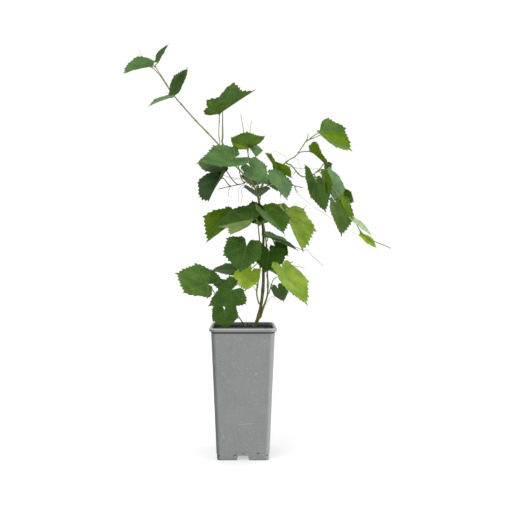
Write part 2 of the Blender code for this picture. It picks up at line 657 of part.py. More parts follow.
def blade(name, leaf, phase, collection):
    """A leaf blade: a grid laid out in rays and rings, and thickened."""
    angles = ray_angles()
    work = bmesh.new()
    bmesh.ops.create_grid(work, x_segments=len(angles) - 1, y_segments=BLADE_RINGS, size=1)
    for vert in work.verts:
        ray = round((vert.co.x + 1) / 2 * (len(angles) - 1))
        share = round((vert.co.y + 1) / 2 * BLADE_RINGS) / BLADE_RINGS
        vert.co = blade_point(leaf, phase, angles[ray], share)
    bmesh.ops.remove_doubles(work, verts=work.verts, dist=WELD)
    obj = mesh_object(name, work, collection)
    thicken = obj.modifiers.new("Thickness", "SOLIDIFY")
    thicken.thickness = BLADE_THICKNESS
    thicken.offset = 0
    return own_mesh(obj)


def stalk_path(leaf, shoot):
    """The leaf stalk: out of the shoot, round to the back of the blade and on into it."""
    start, along = place_on(shoot, leaf.at)
    midrib, _, face, _ = blade_frame(leaf)
    behind = Vector(leaf.root) - face * STALK_BEHIND
    way = behind - start
    reach = way.length / 3
    leaving = (way.normalized() + along * STALK_LEAVES).normalized()
    arriving = (way.normalized() + midrib * STALK_ARRIVES).normalized()
    handles = start + leaving * reach, behind - arriving * reach
    end = Vector(leaf.root) + midrib * STALK_SET_IN + face * STALK_PROUD
    return interpolate_bezier(start, *handles, behind, STALK_STEPS + 1) + [end]


def tendril_path(shoot, leaf, chance):
    """A tendril from the shoot opposite a leaf, curling more and more towards its end."""
    start, along = place_on(shoot, leaf.at)
    away = start - Vector(leaf.root)
    heading = (away - away.project(along)).normalized() + along * TENDRIL_LIFT
    heading.normalize()
    axis = heading.cross(Vector([chance.uniform(-1, 1) for _ in range(3)])).normalized()
    step = chance.uniform(*TENDRIL_LENGTHS) / TENDRIL_STEPS
    path = [start]
    for i in range(TENDRIL_STEPS):
        turn = 2 * TENDRIL_CURL * i / TENDRIL_STEPS**2
        heading = Matrix.Rotation(turn, 3, axis) @ heading
        path.append(path[-1] + heading * step)
    return path


def space_of(mass, shoot):
    """The low and high corners of the space that a mass keeps to."""
    places = list(shoot)
    for leaf in mass.leaves:
        places += [Vector(leaf.root), Vector(leaf.tip)]
    margin = Vector((SPACE_MARGIN, SPACE_MARGIN, SPACE_MARGIN))
    low = Vector([min(place[i] for place in places) for i in range(3)]) - margin
    high = Vector([max(place[i] for place in places) for i in range(3)]) + margin
    return low, high


def fits(path, space, limbs):
    """Whether a path stays inside a space and clear of every limb."""
    low, high = space
    inside = all(low[i] <= place[i] <= high[i] for place in path for i in range(3))
    clear = all(
        (place - spot).length > LIMB_CLEARANCE
        for place in path[2:]
        for limb, _ in limbs.values()
        for spot in limb
    )
    return inside and clear


def thin_twig(name, path, radius, collection):
    """A bare twig or tendril, thinner towards its end."""
    tube(name, path, taper(path, radius, radius * TWIG_TAPER), TWIG_SIDES, collection)


def grow_mass(mass, limbs, parts, pieces, chance):
    """One mass of foliage: its shoot, with stalks, blades, twigs and tendrils joined to it."""
    shoot = grown_path(mass, limbs, mass.shoot)
    radii = taper(shoot, mass.radius, mass.radius * SHOOT_TAPER)
    stem = tube(mass.name, shoot, radii, SHOOT_SIDES, parts)
    space = space_of(mass, shoot)
    for i, leaf in enumerate(mass.leaves):
        stalk = stalk_path(leaf, shoot)
        radii = taper(stalk, STALK_RADIUS * STALK_FOOT, STALK_RADIUS)
        tube("stalk", stalk, radii, TWIG_SIDES, pieces)
        blade("blade", leaf, WAVE_SHIFT * i, pieces)
        if chance.random() < TENDRIL_CHANCE:
            tendril = tendril_path(shoot, leaf, chance)
            if fits(tendril, space, limbs):
                thin_twig("tendril", tendril, TENDRIL_RADIUS, pieces)
    for twig in mass.twigs:
        start, _ = place_on(shoot, twig.at)
        thin_twig("twig", smooth_path([start, *twig.path]), twig.radius, pieces)
    paint(combine(stem, pieces, "UNION"), mass.colour, LEAF_ROUGHNESS)


def clear_scene():
    """Removes every object that the scene starts with."""
    for obj in list(bpy.data.objects):
        bpy.data.objects.remove(obj)


def add_collection(name, helper=False):
    """A collection in the scene. One for helpers isn't rendered."""
    collection = bpy.data.collections.new(name)
    collection.hide_render = helper
    bpy.context.scene.collection.children.link(collection)
    return collection


def main():
    clear_scene()
    parts = add_collection("Potted grapevine")
    helpers = add_collection("Helpers", helper=True)
    pot(parts, helpers)
    soil(parts)
    limbs = grow_limbs(parts)
    chance = random.Random(SEED)
    for mass in MASSES:
        grow_mass(mass, limbs, parts, helpers, chance)


main()
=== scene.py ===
"""Young grapevine in a tall square nursery pot: the dressed model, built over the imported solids.

Lengths are in metres, +Z is up and -Y is the front of the pot. The vine grows by the rule of its
solids, carried further: toothed and veined blades, stalks, tendrils, barked stems, a moulded pot
and crumbly soil. The file is laid out as an add-on with one operator for each kind of piece.
"""

import json
import math
import random
from collections import namedtuple

import bmesh
import bpy
import numpy as np
from bpy.props import FloatProperty, FloatVectorProperty, IntProperty, PointerProperty
from bpy.types import NodeSocket, Operator, Panel, PropertyGroup
from mathutils import Matrix, Vector, noise
from mathutils.geometry import interpolate_bezier

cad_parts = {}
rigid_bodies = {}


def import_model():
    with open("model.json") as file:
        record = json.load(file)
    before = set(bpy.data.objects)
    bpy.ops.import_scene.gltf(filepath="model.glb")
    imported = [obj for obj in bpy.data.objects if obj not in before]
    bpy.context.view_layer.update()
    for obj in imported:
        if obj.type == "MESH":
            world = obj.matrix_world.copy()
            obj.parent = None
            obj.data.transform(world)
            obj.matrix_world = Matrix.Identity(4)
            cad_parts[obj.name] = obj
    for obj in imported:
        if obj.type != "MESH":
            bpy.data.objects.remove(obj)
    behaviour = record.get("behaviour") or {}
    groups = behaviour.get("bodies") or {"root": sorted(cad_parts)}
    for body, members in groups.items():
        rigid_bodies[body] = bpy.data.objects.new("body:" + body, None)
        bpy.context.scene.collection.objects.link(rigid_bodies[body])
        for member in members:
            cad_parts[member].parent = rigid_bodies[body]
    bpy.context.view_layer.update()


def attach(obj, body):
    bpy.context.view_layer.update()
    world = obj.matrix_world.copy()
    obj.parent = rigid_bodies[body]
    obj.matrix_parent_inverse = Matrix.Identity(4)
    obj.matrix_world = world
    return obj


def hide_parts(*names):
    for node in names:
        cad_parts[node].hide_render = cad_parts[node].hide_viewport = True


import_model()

bl_info = {
    "name": "Potted grapevine",
    "version": (1, 0, 0),
    "blender": (4, 5, 0),
    "location": "3D View > Sidebar > Grapevine",
    "description": "Builds a young grapevine in a square nursery pot",
    "category": "Add Mesh",
}

SEED = 7
GAP = 0.0003  # between neighbouring pieces

# How limbs, shoots and twigs grow. The solids follow the same rules with plainer shapes.
PATH_STEP = 0.0025
TRUNK_FLARE = 0.45  # a stem is this much thicker where it leaves the soil
FLARE_REACH = 0.012
SHOOT_TAPER = 0.75
TWIG_TAPER = 0.6
SPUR = 0.0025  # a side limb leaves its parent square for this far
SUNK_FOOT = 0.7  # and starts at this share of its parent's radius
TRUNK_JOINTS = (0.070, 0.22)  # spacing of the swollen joints, and how much each swells
CANE_JOINTS = (0.055, 0.4)
SHOOT_JOINTS = (0.028, 0.35)
FIRST_JOINT = (0.5, 0.9)  # the range of the first spacing, as a share of the set one
JOINT_SPREAD = (0.85, 1.15)
JOINT_REACH = 2.2  # a joint swells for this many radii each way

# How leaf stalks and tendrils grow.
STALK_STEPS = 24
STALK_RADIUS = 0.0011
STALK_FOOT = 1.2  # a leaf stalk is this much thicker where it leaves the shoot
STALK_LEAVES = 0.6  # how far a stalk's start turns towards the shoot's own heading
STALK_ARRIVES = 0.5  # how far its end turns towards the midrib
STALK_BEHIND = 0.002  # it passes this far behind the blade's base
STALK_ENDS = ((0.002, 0.0010), (0.007, 0.0006))  # then along the midrib, and behind the blade
STALK_FOOT_SWELL = (0.55, 0.0035)  # share and reach of the swelling on the shoot
STALK_HEAD_SWELL = (0.35, 0.004)  # and of the one under the blade
STALK_POINT = 0.45
TENDRIL_RADIUS = 0.0006
TENDRIL_CHANCE = 0.3
TENDRIL_LENGTHS = (0.030, 0.050)
TENDRIL_STEPS = 4
TENDRIL_LIFT = 0.8  # how far a tendril leans along its shoot
TENDRIL_CURL = 2.2
LIMB_CLEARANCE = 0.006
SPACE_MARGIN = 0.006

# The outline of a blade. Reaches and depths are shares of the midrib.
LOBE_ANGLES = (0, 50, 98, 142)
SIDE_LOBES = (0.86, 0.71, 0.45)
SINUS_DEPTH = 0.07
SINUS_SHAPE = 0.8
SINUS_NARROWS = 5.0  # a deeper sinus is narrower, which leaves its lobes broad
BASE_ANGLE = 160
BASE_REACH = 0.67
TEETH = (6, 5, 5, 2)  # from each lobe to the next, and on to the foot of the blade
TOOTH_RAYS = 4
TOOTH_SIZES = (1.05, 0.75)  # large and small in turn
TOOTH_SPREAD = (0.75, 1.2)
TOOTH_SHAPE = 0.9
TOOTH_RISE = 9  # the power by which the teeth fade in towards the edge
LOBE_TOOTH = 1.15  # the tooth at a lobe's tip is this much longer
END_TOOTH = 1.5  # and the one at the end of the midrib

# The surface of a blade.
BLADE_RINGS = 12
RING_EASE = 0.85
BLADE_THICKNESS = 0.0004
RIB_DEPTH = 1.6
DROOP = 0.10
BASE_LIFT = 0.15
FOLD_EASE = 0.06
WAVE = 0.025
WAVES = 3
WAVE_SHIFT = 2.4  # from each leaf of a shoot to the next, so that no two ripple alike
RUFFLE = 0.012
RUFFLES = 11
VEIN_WIDTH = 0.020
VEIN_SINK = 0.006
VEIN_SHALLOWS = 0.6
SIDE_VEIN_SPACING = 0.15
SIDE_VEIN_LEAN = math.radians(48)
QUILT = 0.007
QUILT_START = 0.06
QUILT_FADE = 6
TONE_BLEND = 3.0  # degrees over which one tone of a blade gives way to the other
MARK_EDGE = 0.5  # the share of a dried patch's radius over which it fades

Limb = namedtuple("Limb", "name parent at path radius tip_radius")
Mass = namedtuple("Mass", "name parent at shoot radius leaves twigs slot")
Leaf = namedtuple(
    "Leaf",
    "at root tip face fold width tone under right left droop split marks",
    defaults=("olive", SIDE_LOBES, SIDE_LOBES, DROOP, 0, ()),
)
Twig = namedtuple("Twig", "at path radius")
Sprig = namedtuple("Sprig", "parent at path radius kind")
Place = namedtuple("Place", "path radii")

LIMBS = (
    Limb("trunk", None, 0, (
        (0.025, 0.000, 0.2873), (0.025, 0.000, 0.294), (0.037, 0.000, 0.325),
        (0.045, 0.000, 0.365), (0.049, 0.000, 0.414), (0.048, 0.000, 0.474),
        (0.049, 0.000, 0.522), (0.043, 0.000, 0.577), (0.037, 0.000, 0.611),
        (0.036, 0.000, 0.640),
    ), 0.0042, 0.0026),
    Limb("sucker", None, 0, (
        (0.0125, 0.002, 0.2873), (0.0125, 0.002, 0.292), (-0.005, -0.008, 0.318),
        (-0.019, -0.018, 0.341),
    ), 0.0015, 0.0012),
    Limb("second_stem", "trunk", 0.11, (
        (0.049, -0.002, 0.348), (0.059, -0.002, 0.380), (0.058, -0.004, 0.438),
        (0.056, -0.008, 0.498), (0.050, -0.010, 0.543),
    ), 0.0022, 0.0017),
    Limb("climbing_stem", "trunk", 0.20, (
        (0.033, -0.002, 0.382), (0.037, -0.006, 0.414), (0.041, -0.009, 0.442),
        (0.041, -0.009, 0.486), (0.038, -0.006, 0.527), (0.035, -0.006, 0.553),
    ), 0.0018, 0.0014),
    Limb("left_bough", "trunk", 0.97, (
        (0.018, 0.014, 0.652), (0.000, 0.028, 0.674), (-0.020, 0.042, 0.697),
        (-0.062, 0.070, 0.754), (-0.126, 0.100, 0.826), (-0.182, 0.120, 0.893),
    ), 0.0021, 0.0017),
    Limb("right_bough", "trunk", 0.95, (
        (0.046, -0.006, 0.642), (0.062, -0.015, 0.659), (0.075, -0.020, 0.671),
        (0.088, -0.025, 0.681), (0.107, -0.030, 0.696),
    ), 0.0020, 0.0016),
    Limb("hanging_bough", "right_bough", 0.93, (
        (0.113, -0.036, 0.683), (0.134, -0.058, 0.655), (0.156, -0.080, 0.649),
        (0.175, -0.095, 0.645), (0.195, -0.110, 0.625),
    ), 0.0015, 0.0013),
)

# A leaf's words are the tones of its upper side and, where it isn't olive, of its underside. Two
# tones with a bar between them lie right and left of the split, in degrees from the midrib. Many
# tones carry painted sheen, shade and light shining through, and a split paints how each half
# catches the light.
# Right and left are the reach of the three lobes on each side, seen from above with the tip
# ahead. A fourth number there is how deep that side is cut between its lobes; below 0 it bulges.
# A mark is a dried patch: its angle from the midrib, its reach and its radius.
MASSES = (
    Mass("foliage_left_tip", "left_bough", 1.0, (
        (-0.198, 0.130, 0.920), (-0.234, 0.146, 0.977), (-0.243, 0.140, 0.983),
    ), 0.0014, (
        Leaf(0.03, (-0.178, 0.090, 0.888), (-0.142, 0.075, 0.947), (0.12, -0.95, -0.28),
             52, 0.62, "dusk", right=(0.52, 0.20, 0.06, 0.00), left=(0.94, 0.42, 0.10)),
        Leaf(0.05, (-0.189, 0.148, 0.896), (-0.251, 0.156, 0.874), (-0.37, -0.30, 0.85),
             20, 0.62, "cool", "mist", right=(0.95, 0.52, 0.10), left=(1.00, 0.45, 0.10)),
        Leaf(0.02, (-0.243, 0.137, 0.974), (-0.311, 0.132, 0.956), (-0.11, -0.74, 0.58),
             30, 0.62, "cool", right=(0.92, 0.48, 0.05, -0.04), left=(1.00, 0.50, 0.05, -0.04),
             droop=0.22),
        Leaf(0.85, (-0.219, 0.095, 0.972), (-0.192, 0.090, 1.013), (-0.71, -0.60, 0.25),
             16, 0.62, "forest", right=(0.80, 0.35, 0.05), left=(0.80, 0.40, 0.08)),
    ), (
        Twig(0.95, ((-0.258, 0.142, 0.994), (-0.268, 0.144, 1.004), (-0.277, 0.146, 1.023)),
             0.0007),
        Twig(0.95, ((-0.258, 0.142, 0.994), (-0.268, 0.144, 1.002), (-0.283, 0.146, 1.009)),
             0.0006),
    ), "leaf_deep"),
    Mass("foliage_upper_left", "left_bough", 0.47, (
        (-0.061, 0.068, 0.780), (-0.060, 0.067, 0.810),
    ), 0.0012, (
        Leaf(1.0, (-0.059, 0.060, 0.830), (0.027, 0.045, 0.882), (-0.55, -0.39, 0.74),
             28, 0.9, "forest", right=(0.60, 1.00, 0.12), left=(1.06, 0.80, 0.06, 0.20),
             droop=0.02),
    ), (), "leaf_deep"),
    Mass("foliage_top", "trunk", 1.0, (
        (0.028, -0.002, 0.672), (0.014, -0.010, 0.702), (0.011, -0.018, 0.722),
    ), 0.0014, (
        Leaf(1.0, (0.011, -0.030, 0.726), (0.009, -0.085, 0.750), (0.00, 0.41, 0.91),
             10, 1.0, "mid", "lime|fern", right=(0.82, 0.60, 0.25), left=(0.88, 0.22, 0.06, 0.14),
             split=72),
        Leaf(0.8, (0.014, -0.034, 0.727), (0.030, -0.052, 0.700), (0.69, -0.65, 0.31),
             26, 1.0, "blue", "bright", right=(0.60, 0.30, 0.10), left=(0.95, 0.70, 0.20)),
    ), (
        Twig(0.9, ((0.006, -0.030, 0.742), (-0.001, -0.090, 0.765), (-0.005, -0.092, 0.788)),
             0.0011),
        Twig(0.9, ((0.014, -0.030, 0.742), (0.016, -0.090, 0.752), (0.019, -0.092, 0.774)),
             0.0009),
    ), "leaf_blue"),
    Mass("foliage_crown_left", "trunk", 0.95, (
        (0.020, -0.004, 0.652), (0.000, -0.010, 0.644), (-0.020, -0.014, 0.639),
        (-0.042, -0.016, 0.634), (-0.058, -0.018, 0.630),
    ), 0.0013, (
        Leaf(0.45, (-0.020, -0.060, 0.697), (-0.094, -0.070, 0.686), (-0.11, -0.66, 0.74),
             10, 1.0, "cool", right=(0.86, 0.58, 0.24), left=(0.84, 0.78, 0.62)),
        Leaf(0.60, (-0.052, -0.020, 0.689), (-0.107, -0.026, 0.690), (0.00, -0.63, 0.66),
             10, 1.0, "dusk", left=(1.10, 0.80, 0.40)),
        Leaf(0.75, (-0.050, -0.030, 0.656), (-0.079, -0.048, 0.601), (-0.76, -0.51, 0.37),
             28, 1.0, "dark", right=(0.94, 0.60, 0.45, -0.12), left=(0.92, 0.60, 0.45, -0.12)),
    ), (), "leaf_blue"),
    Mass("foliage_crown_middle", "trunk", 0.86, (
        (0.034, -0.020, 0.625), (0.026, -0.034, 0.650), (0.020, -0.048, 0.668),
    ), 0.0013, (
        Leaf(1.0, (0.017, -0.060, 0.676), (0.057, -0.076, 0.634), (0.00, -0.95, 0.30),
             25, 0.72, "blue", right=(0.86, 0.60, 0.25), left=(0.80, 0.60, 0.25)),
        Leaf(0.0, (0.031, -0.036, 0.622), (0.034, -0.084, 0.603), (0.06, -0.35, 0.93),
             24, 1.0, "dusk", "forest", right=(0.80, 0.62, 0.35), left=(0.80, 0.62, 0.35)),
    ), (), "leaf_blue"),
    Mass("foliage_crown_right", "right_bough", 0.60, (
        (0.082, -0.028, 0.658), (0.100, -0.022, 0.642), (0.118, -0.022, 0.638),
        (0.142, -0.026, 0.632),
    ), 0.0012, (
        Leaf(0.15, (0.062, -0.080, 0.648), (0.098, -0.094, 0.598), (0.64, -0.52, 0.44),
             16, 1.0, "blue", right=(0.70, 0.42, 0.15), left=(0.95, 0.74, 0.42)),
        Leaf(0.05, (0.072, -0.040, 0.680), (0.054, -0.004, 0.717), (0.83, 0.26, 0.48),
             20, 0.45, "mid", "bright"),
        Leaf(0.10, (0.077, -0.045, 0.674), (0.113, -0.050, 0.652), (0.52, 0.34, 0.79),
             22, 0.62, "forest", "bright", right=(1.10, 0.75, 0.20), left=(0.90, 0.55, 0.12)),
        Leaf(0.45, (0.084, -0.030, 0.650), (0.088, -0.030, 0.610), (0.95, -0.25, 0.05),
             12, 0.5, "dusk"),
    ), (
        Twig(0.80, ((0.122, -0.022, 0.634), (0.130, -0.024, 0.621)), 0.0012),
    ), "leaf_blue"),
    Mass("foliage_arm_tip", "right_bough", 1.0, (
        (0.123, -0.035, 0.705), (0.137, -0.038, 0.724), (0.150, -0.040, 0.740),
        (0.165, -0.048, 0.745), (0.179, -0.056, 0.750),
    ), 0.0013, (
        Leaf(0.65, (0.180, -0.062, 0.757), (0.244, -0.078, 0.711), (0.33, -0.64, 0.52),
             22, 0.9, "bright|mid", right=(1.25, 0.28, 0.05),
             left=(0.78, 0.60, 0.10), split=-40),
        Leaf(0.28, (0.157, -0.050, 0.714), (0.194, -0.053, 0.679), (0.40, -0.60, 0.61),
             32, 0.9, "bright", right=(0.66, 0.34, 0.10), left=(0.55, 0.66, 0.30)),
    ), (), "leaf_blue"),
    Mass("foliage_hanging_inner", "hanging_bough", 0.62, (
        (0.162, -0.086, 0.657), (0.172, -0.092, 0.664),
    ), 0.0012, (
        Leaf(0.30, (0.162, -0.105, 0.637), (0.180, -0.125, 0.568), (-0.15, -0.98, 0.05),
             32, 0.52, "forest", right=(0.86, 0.64, 0.66), left=(0.92, 0.38, 0.06)),
        Leaf(0.60, (0.174, -0.122, 0.650), (0.186, -0.120, 0.599), (0.75, -0.62, 0.22),
             20, 0.62, "olive", "bright", right=(0.62, 0.34, 0.08), left=(0.90, 0.60, 0.12)),
        Leaf(0.90, (0.190, -0.080, 0.661), (0.215, -0.095, 0.587), (0.25, -0.95, 0.10),
             8, 0.42, "mist", right=(0.80, 0.40, 0.10), left=(1.00, 0.42, 0.10)),
        Leaf(0.80, (0.193, -0.060, 0.684), (0.188, -0.066, 0.658), (0.75, -0.60, 0.10),
             16, 0.85, "deep", right=(0.86, 0.70, 0.25), left=(0.86, 0.70, 0.25)),
    ), (), "leaf_deep"),
    Mass("foliage_hanging_outer", "hanging_bough", 1.0, (
        (0.215, -0.120, 0.595), (0.239, -0.135, 0.554), (0.255, -0.150, 0.519),
        (0.281, -0.160, 0.500), (0.299, -0.165, 0.492), (0.312, -0.170, 0.485),
    ), 0.0012, (
        Leaf(0.30, (0.224, -0.062, 0.612), (0.253, -0.068, 0.594), (-0.14, -0.93, -0.34),
             22, 0.85, "olive", right=(0.88, 0.66, 0.25), left=(0.90, 0.66, 0.20)),
        Leaf(0.18, (0.203, -0.122, 0.586), (0.213, -0.140, 0.516), (0.51, -0.76, 0.09),
             20, 0.75, "mid", right=(0.75, 0.45, 0.10), left=(0.88, 0.66, 0.15)),
        Leaf(0.25, (0.213, -0.150, 0.594), (0.236, -0.156, 0.544), (-0.40, -0.85, 0.25),
             12, 0.16, "bright", "bright", right=(0.85, 0.50, 0.10), left=(0.85, 0.50, 0.10)),
        Leaf(0.45, (0.239, -0.140, 0.549), (0.275, -0.150, 0.514), (0.48, -0.62, 0.62),
             10, 0.36, "pale", "pale", right=(0.90, 0.65, 0.10), left=(0.80, 0.45, 0.08)),
        Leaf(0.62, (0.253, -0.152, 0.514), (0.283, -0.162, 0.487), (0.40, -0.70, 0.58),
             10, 0.45, "fresh", "fresh", right=(0.90, 0.42, 0.08), left=(0.90, 0.42, 0.08),
             marks=((0, 0.98, 0.09),)),
    ), (), "leaf_lime"),
    Mass("foliage_middle_left", "second_stem", 1.0, (
        (0.046, -0.016, 0.556), (0.036, -0.030, 0.561),
    ), 0.0015, (
        Leaf(1.0, (0.021, -0.062, 0.554), (-0.061, -0.066, 0.538), (-0.15, -0.58, 0.80),
             9, 0.9, "forest|moss", right=(0.84, 0.80, 0.48),
             left=(1.06, 0.10, 0.05, 0.24), split=-6),
        Leaf(0.5, (-0.024, 0.000, 0.555), (-0.085, -0.006, 0.507), (-0.47, -0.67, 0.57),
             36, 0.9, "olive", right=(1.02, 0.60, 0.35), left=(0.80, 0.58, 0.30)),
        Leaf(0.8, (0.031, -0.034, 0.561), (0.023, -0.012, 0.602), (0.10, -0.88, -0.45),
             12, 0.75, "deep"),
    ), (), "leaf_deep"),
    Mass("foliage_middle_right", "trunk", 0.84, (
        (0.060, -0.014, 0.582), (0.078, -0.022, 0.580), (0.092, -0.020, 0.576),
    ), 0.0014, (
        Leaf(1.0, (0.105, 0.000, 0.573), (0.138, -0.048, 0.485), (0.70, -0.60, 0.30),
             24, 0.85, "lime", "lime", right=(0.74, 0.48, 0.10), left=(0.85, 0.62, 0.25)),
        Leaf(0.4, (0.051, -0.098, 0.567), (0.089, -0.118, 0.521), (0.57, -0.59, 0.49),
             15, 1.0, "cool|grass", right=(0.80, 0.62, 0.50), left=(0.95, 0.74, 0.40)),
        Leaf(0.7, (0.094, 0.030, 0.575), (0.075, 0.055, 0.598), (-0.30, -0.70, 0.55),
             14, 0.9, "moss"),
    ), (), "leaf_lime"),
    Mass("foliage_side_right", "second_stem", 0.84, (
        (0.062, -0.016, 0.520), (0.071, -0.018, 0.510),
    ), 0.0012, (
        Leaf(0.3, (0.057, -0.058, 0.516), (0.123, -0.075, 0.484), (0.39, -0.28, 0.86),
             8, 0.7, "grass|mist", right=(0.75, 0.55, 0.20), left=(0.75, 0.60, 0.20),
             split=-38),
        Leaf(1.0, (0.079, -0.010, 0.493), (0.106, -0.022, 0.472), (0.10, -0.80, 0.55),
             12, 0.8, "deep"),
    ), (
        Twig(0.9, ((0.100, -0.030, 0.500), (0.128, -0.046, 0.489), (0.141, -0.050, 0.483),
                   (0.147, -0.052, 0.486), (0.161, -0.058, 0.469), (0.185, -0.060, 0.447)),
             0.0008),
    ), "leaf_deep"),
    Mass("foliage_low_middle", "climbing_stem", 0.70, (
        (0.038, -0.026, 0.488), (0.040, -0.036, 0.492),
    ), 0.0013, (
        Leaf(1.0, (0.008, -0.070, 0.493), (-0.006, -0.088, 0.436), (-0.30, -0.90, 0.20),
             16, 1.1, "forest", right=(0.88, 0.74, 0.42), left=(0.86, 0.62, 0.34)),
        Leaf(0.8, (0.061, -0.038, 0.482), (0.052, -0.050, 0.435), (0.10, -0.92, 0.30),
             20, 1.1, "deep", right=(0.90, 0.68, 0.16), left=(0.90, 0.78, 0.30)),
    ), (), "leaf_deep"),
    Mass("foliage_low_centre", "climbing_stem", 0.25, (
        (0.022, -0.012, 0.405), (0.010, -0.018, 0.420),
    ), 0.0011, (
        Leaf(0.5, (0.020, -0.046, 0.435), (0.006, -0.060, 0.392), (-0.10, -0.95, 0.20),
             20, 0.85, "sunny", "lime", right=(1.22, 0.72, 0.32), left=(0.82, 0.58, 0.25),
             marks=((33, 1.12, 0.36),)),
        Leaf(1.0, (-0.005, 0.020, 0.435), (-0.075, 0.016, 0.437), (0.00, -0.37, 0.93),
             5, 0.8, "forest"),
    ), (), "leaf_lime"),
    Mass("foliage_low_left", "sucker", 1.0, (
        (-0.030, -0.030, 0.356), (-0.044, -0.040, 0.370), (-0.060, -0.045, 0.378),
    ), 0.0011, (
        Leaf(0.05, (-0.043, -0.046, 0.345), (-0.038, -0.058, 0.305), (-0.05, -0.90, 0.35),
             10, 1.0, "forest", right=(0.92, 0.71, 0.35), left=(0.92, 0.71, 0.35)),
        Leaf(0.55, (-0.025, -0.072, 0.393), (-0.075, -0.088, 0.359), (0.19, -0.94, -0.28),
             20, 0.95, "forest", right=(0.66, 0.66, 0.42), left=(0.66, 0.76, 0.46)),
        Leaf(1.0, (-0.082, -0.050, 0.406), (-0.152, -0.061, 0.430), (0.18, -0.81, 0.56),
             5, 0.8, "forest|mid", right=(0.86, 0.66, 0.56), left=(1.00, 0.66, 0.24),
             split=92),
    ), (), "leaf_deep"),
    Mass("foliage_low_right", "second_stem", 0.28, (
        (0.072, -0.016, 0.414), (0.084, -0.034, 0.424), (0.090, -0.048, 0.436),
    ), 0.0012, (
        Leaf(0.3, (0.084, -0.010, 0.393), (0.096, -0.020, 0.364), (0.20, -0.90, 0.30),
             20, 0.9, "dusk"),
        Leaf(1.0, (0.091, -0.078, 0.442), (0.141, -0.105, 0.364), (0.62, -0.67, 0.42),
             9, 0.65, "lime", "lime", right=(0.88, 0.62, 0.24), left=(0.86, 0.52, 0.15),
             marks=((30, 0.98, 0.07), (12, 1.0, 0.06))),
    ), (), "leaf_lime"),
    Mass("foliage_back_low", "trunk", 0.52, (
        (0.046, 0.020, 0.462), (0.040, 0.045, 0.466),
    ), 0.0013, (
        Leaf(1.0, (0.034, 0.075, 0.466), (0.008, 0.135, 0.456), (-0.10, 0.45, 0.88),
             14, 1.0, "forest"),
        Leaf(0.8, (0.094, 0.070, 0.430), (0.122, 0.130, 0.408), (0.30, 0.45, 0.84),
             14, 1.0, "mid"),
        Leaf(0.5, (-0.020, 0.050, 0.404), (-0.048, 0.105, 0.380), (-0.30, 0.40, 0.86),
             14, 1.0, "deep", "deep"),
    ), (), "leaf_deep"),
    Mass("foliage_back_middle", "trunk", 0.72, (
        (0.044, 0.020, 0.556), (0.040, 0.045, 0.566),
    ), 0.0013, (
        Leaf(1.0, (0.048, 0.085, 0.572), (0.044, 0.160, 0.556), (0.00, 0.45, 0.88),
             14, 1.0, "mid"),
        Leaf(0.8, (0.000, 0.070, 0.574), (-0.044, 0.120, 0.565), (-0.35, 0.40, 0.85),
             14, 0.9, "forest"),
        Leaf(0.6, (0.116, 0.082, 0.562), (0.152, 0.132, 0.546), (0.35, 0.40, 0.85),
             14, 0.8, "forest", "deep"),
    ), (), "leaf_deep"),
    Mass("foliage_back_high", "trunk", 0.90, (
        (0.046, 0.022, 0.634), (0.050, 0.045, 0.648),
    ), 0.0013, (
        Leaf(1.0, (0.044, 0.080, 0.668), (0.026, 0.150, 0.660), (-0.05, 0.45, 0.88),
             14, 0.9, "blue", "forest"),
        Leaf(0.7, (0.082, 0.066, 0.655), (0.090, 0.132, 0.645), (0.15, 0.45, 0.86),
             14, 0.8, "mid", "forest"),
    ), (), "leaf_blue"),
)

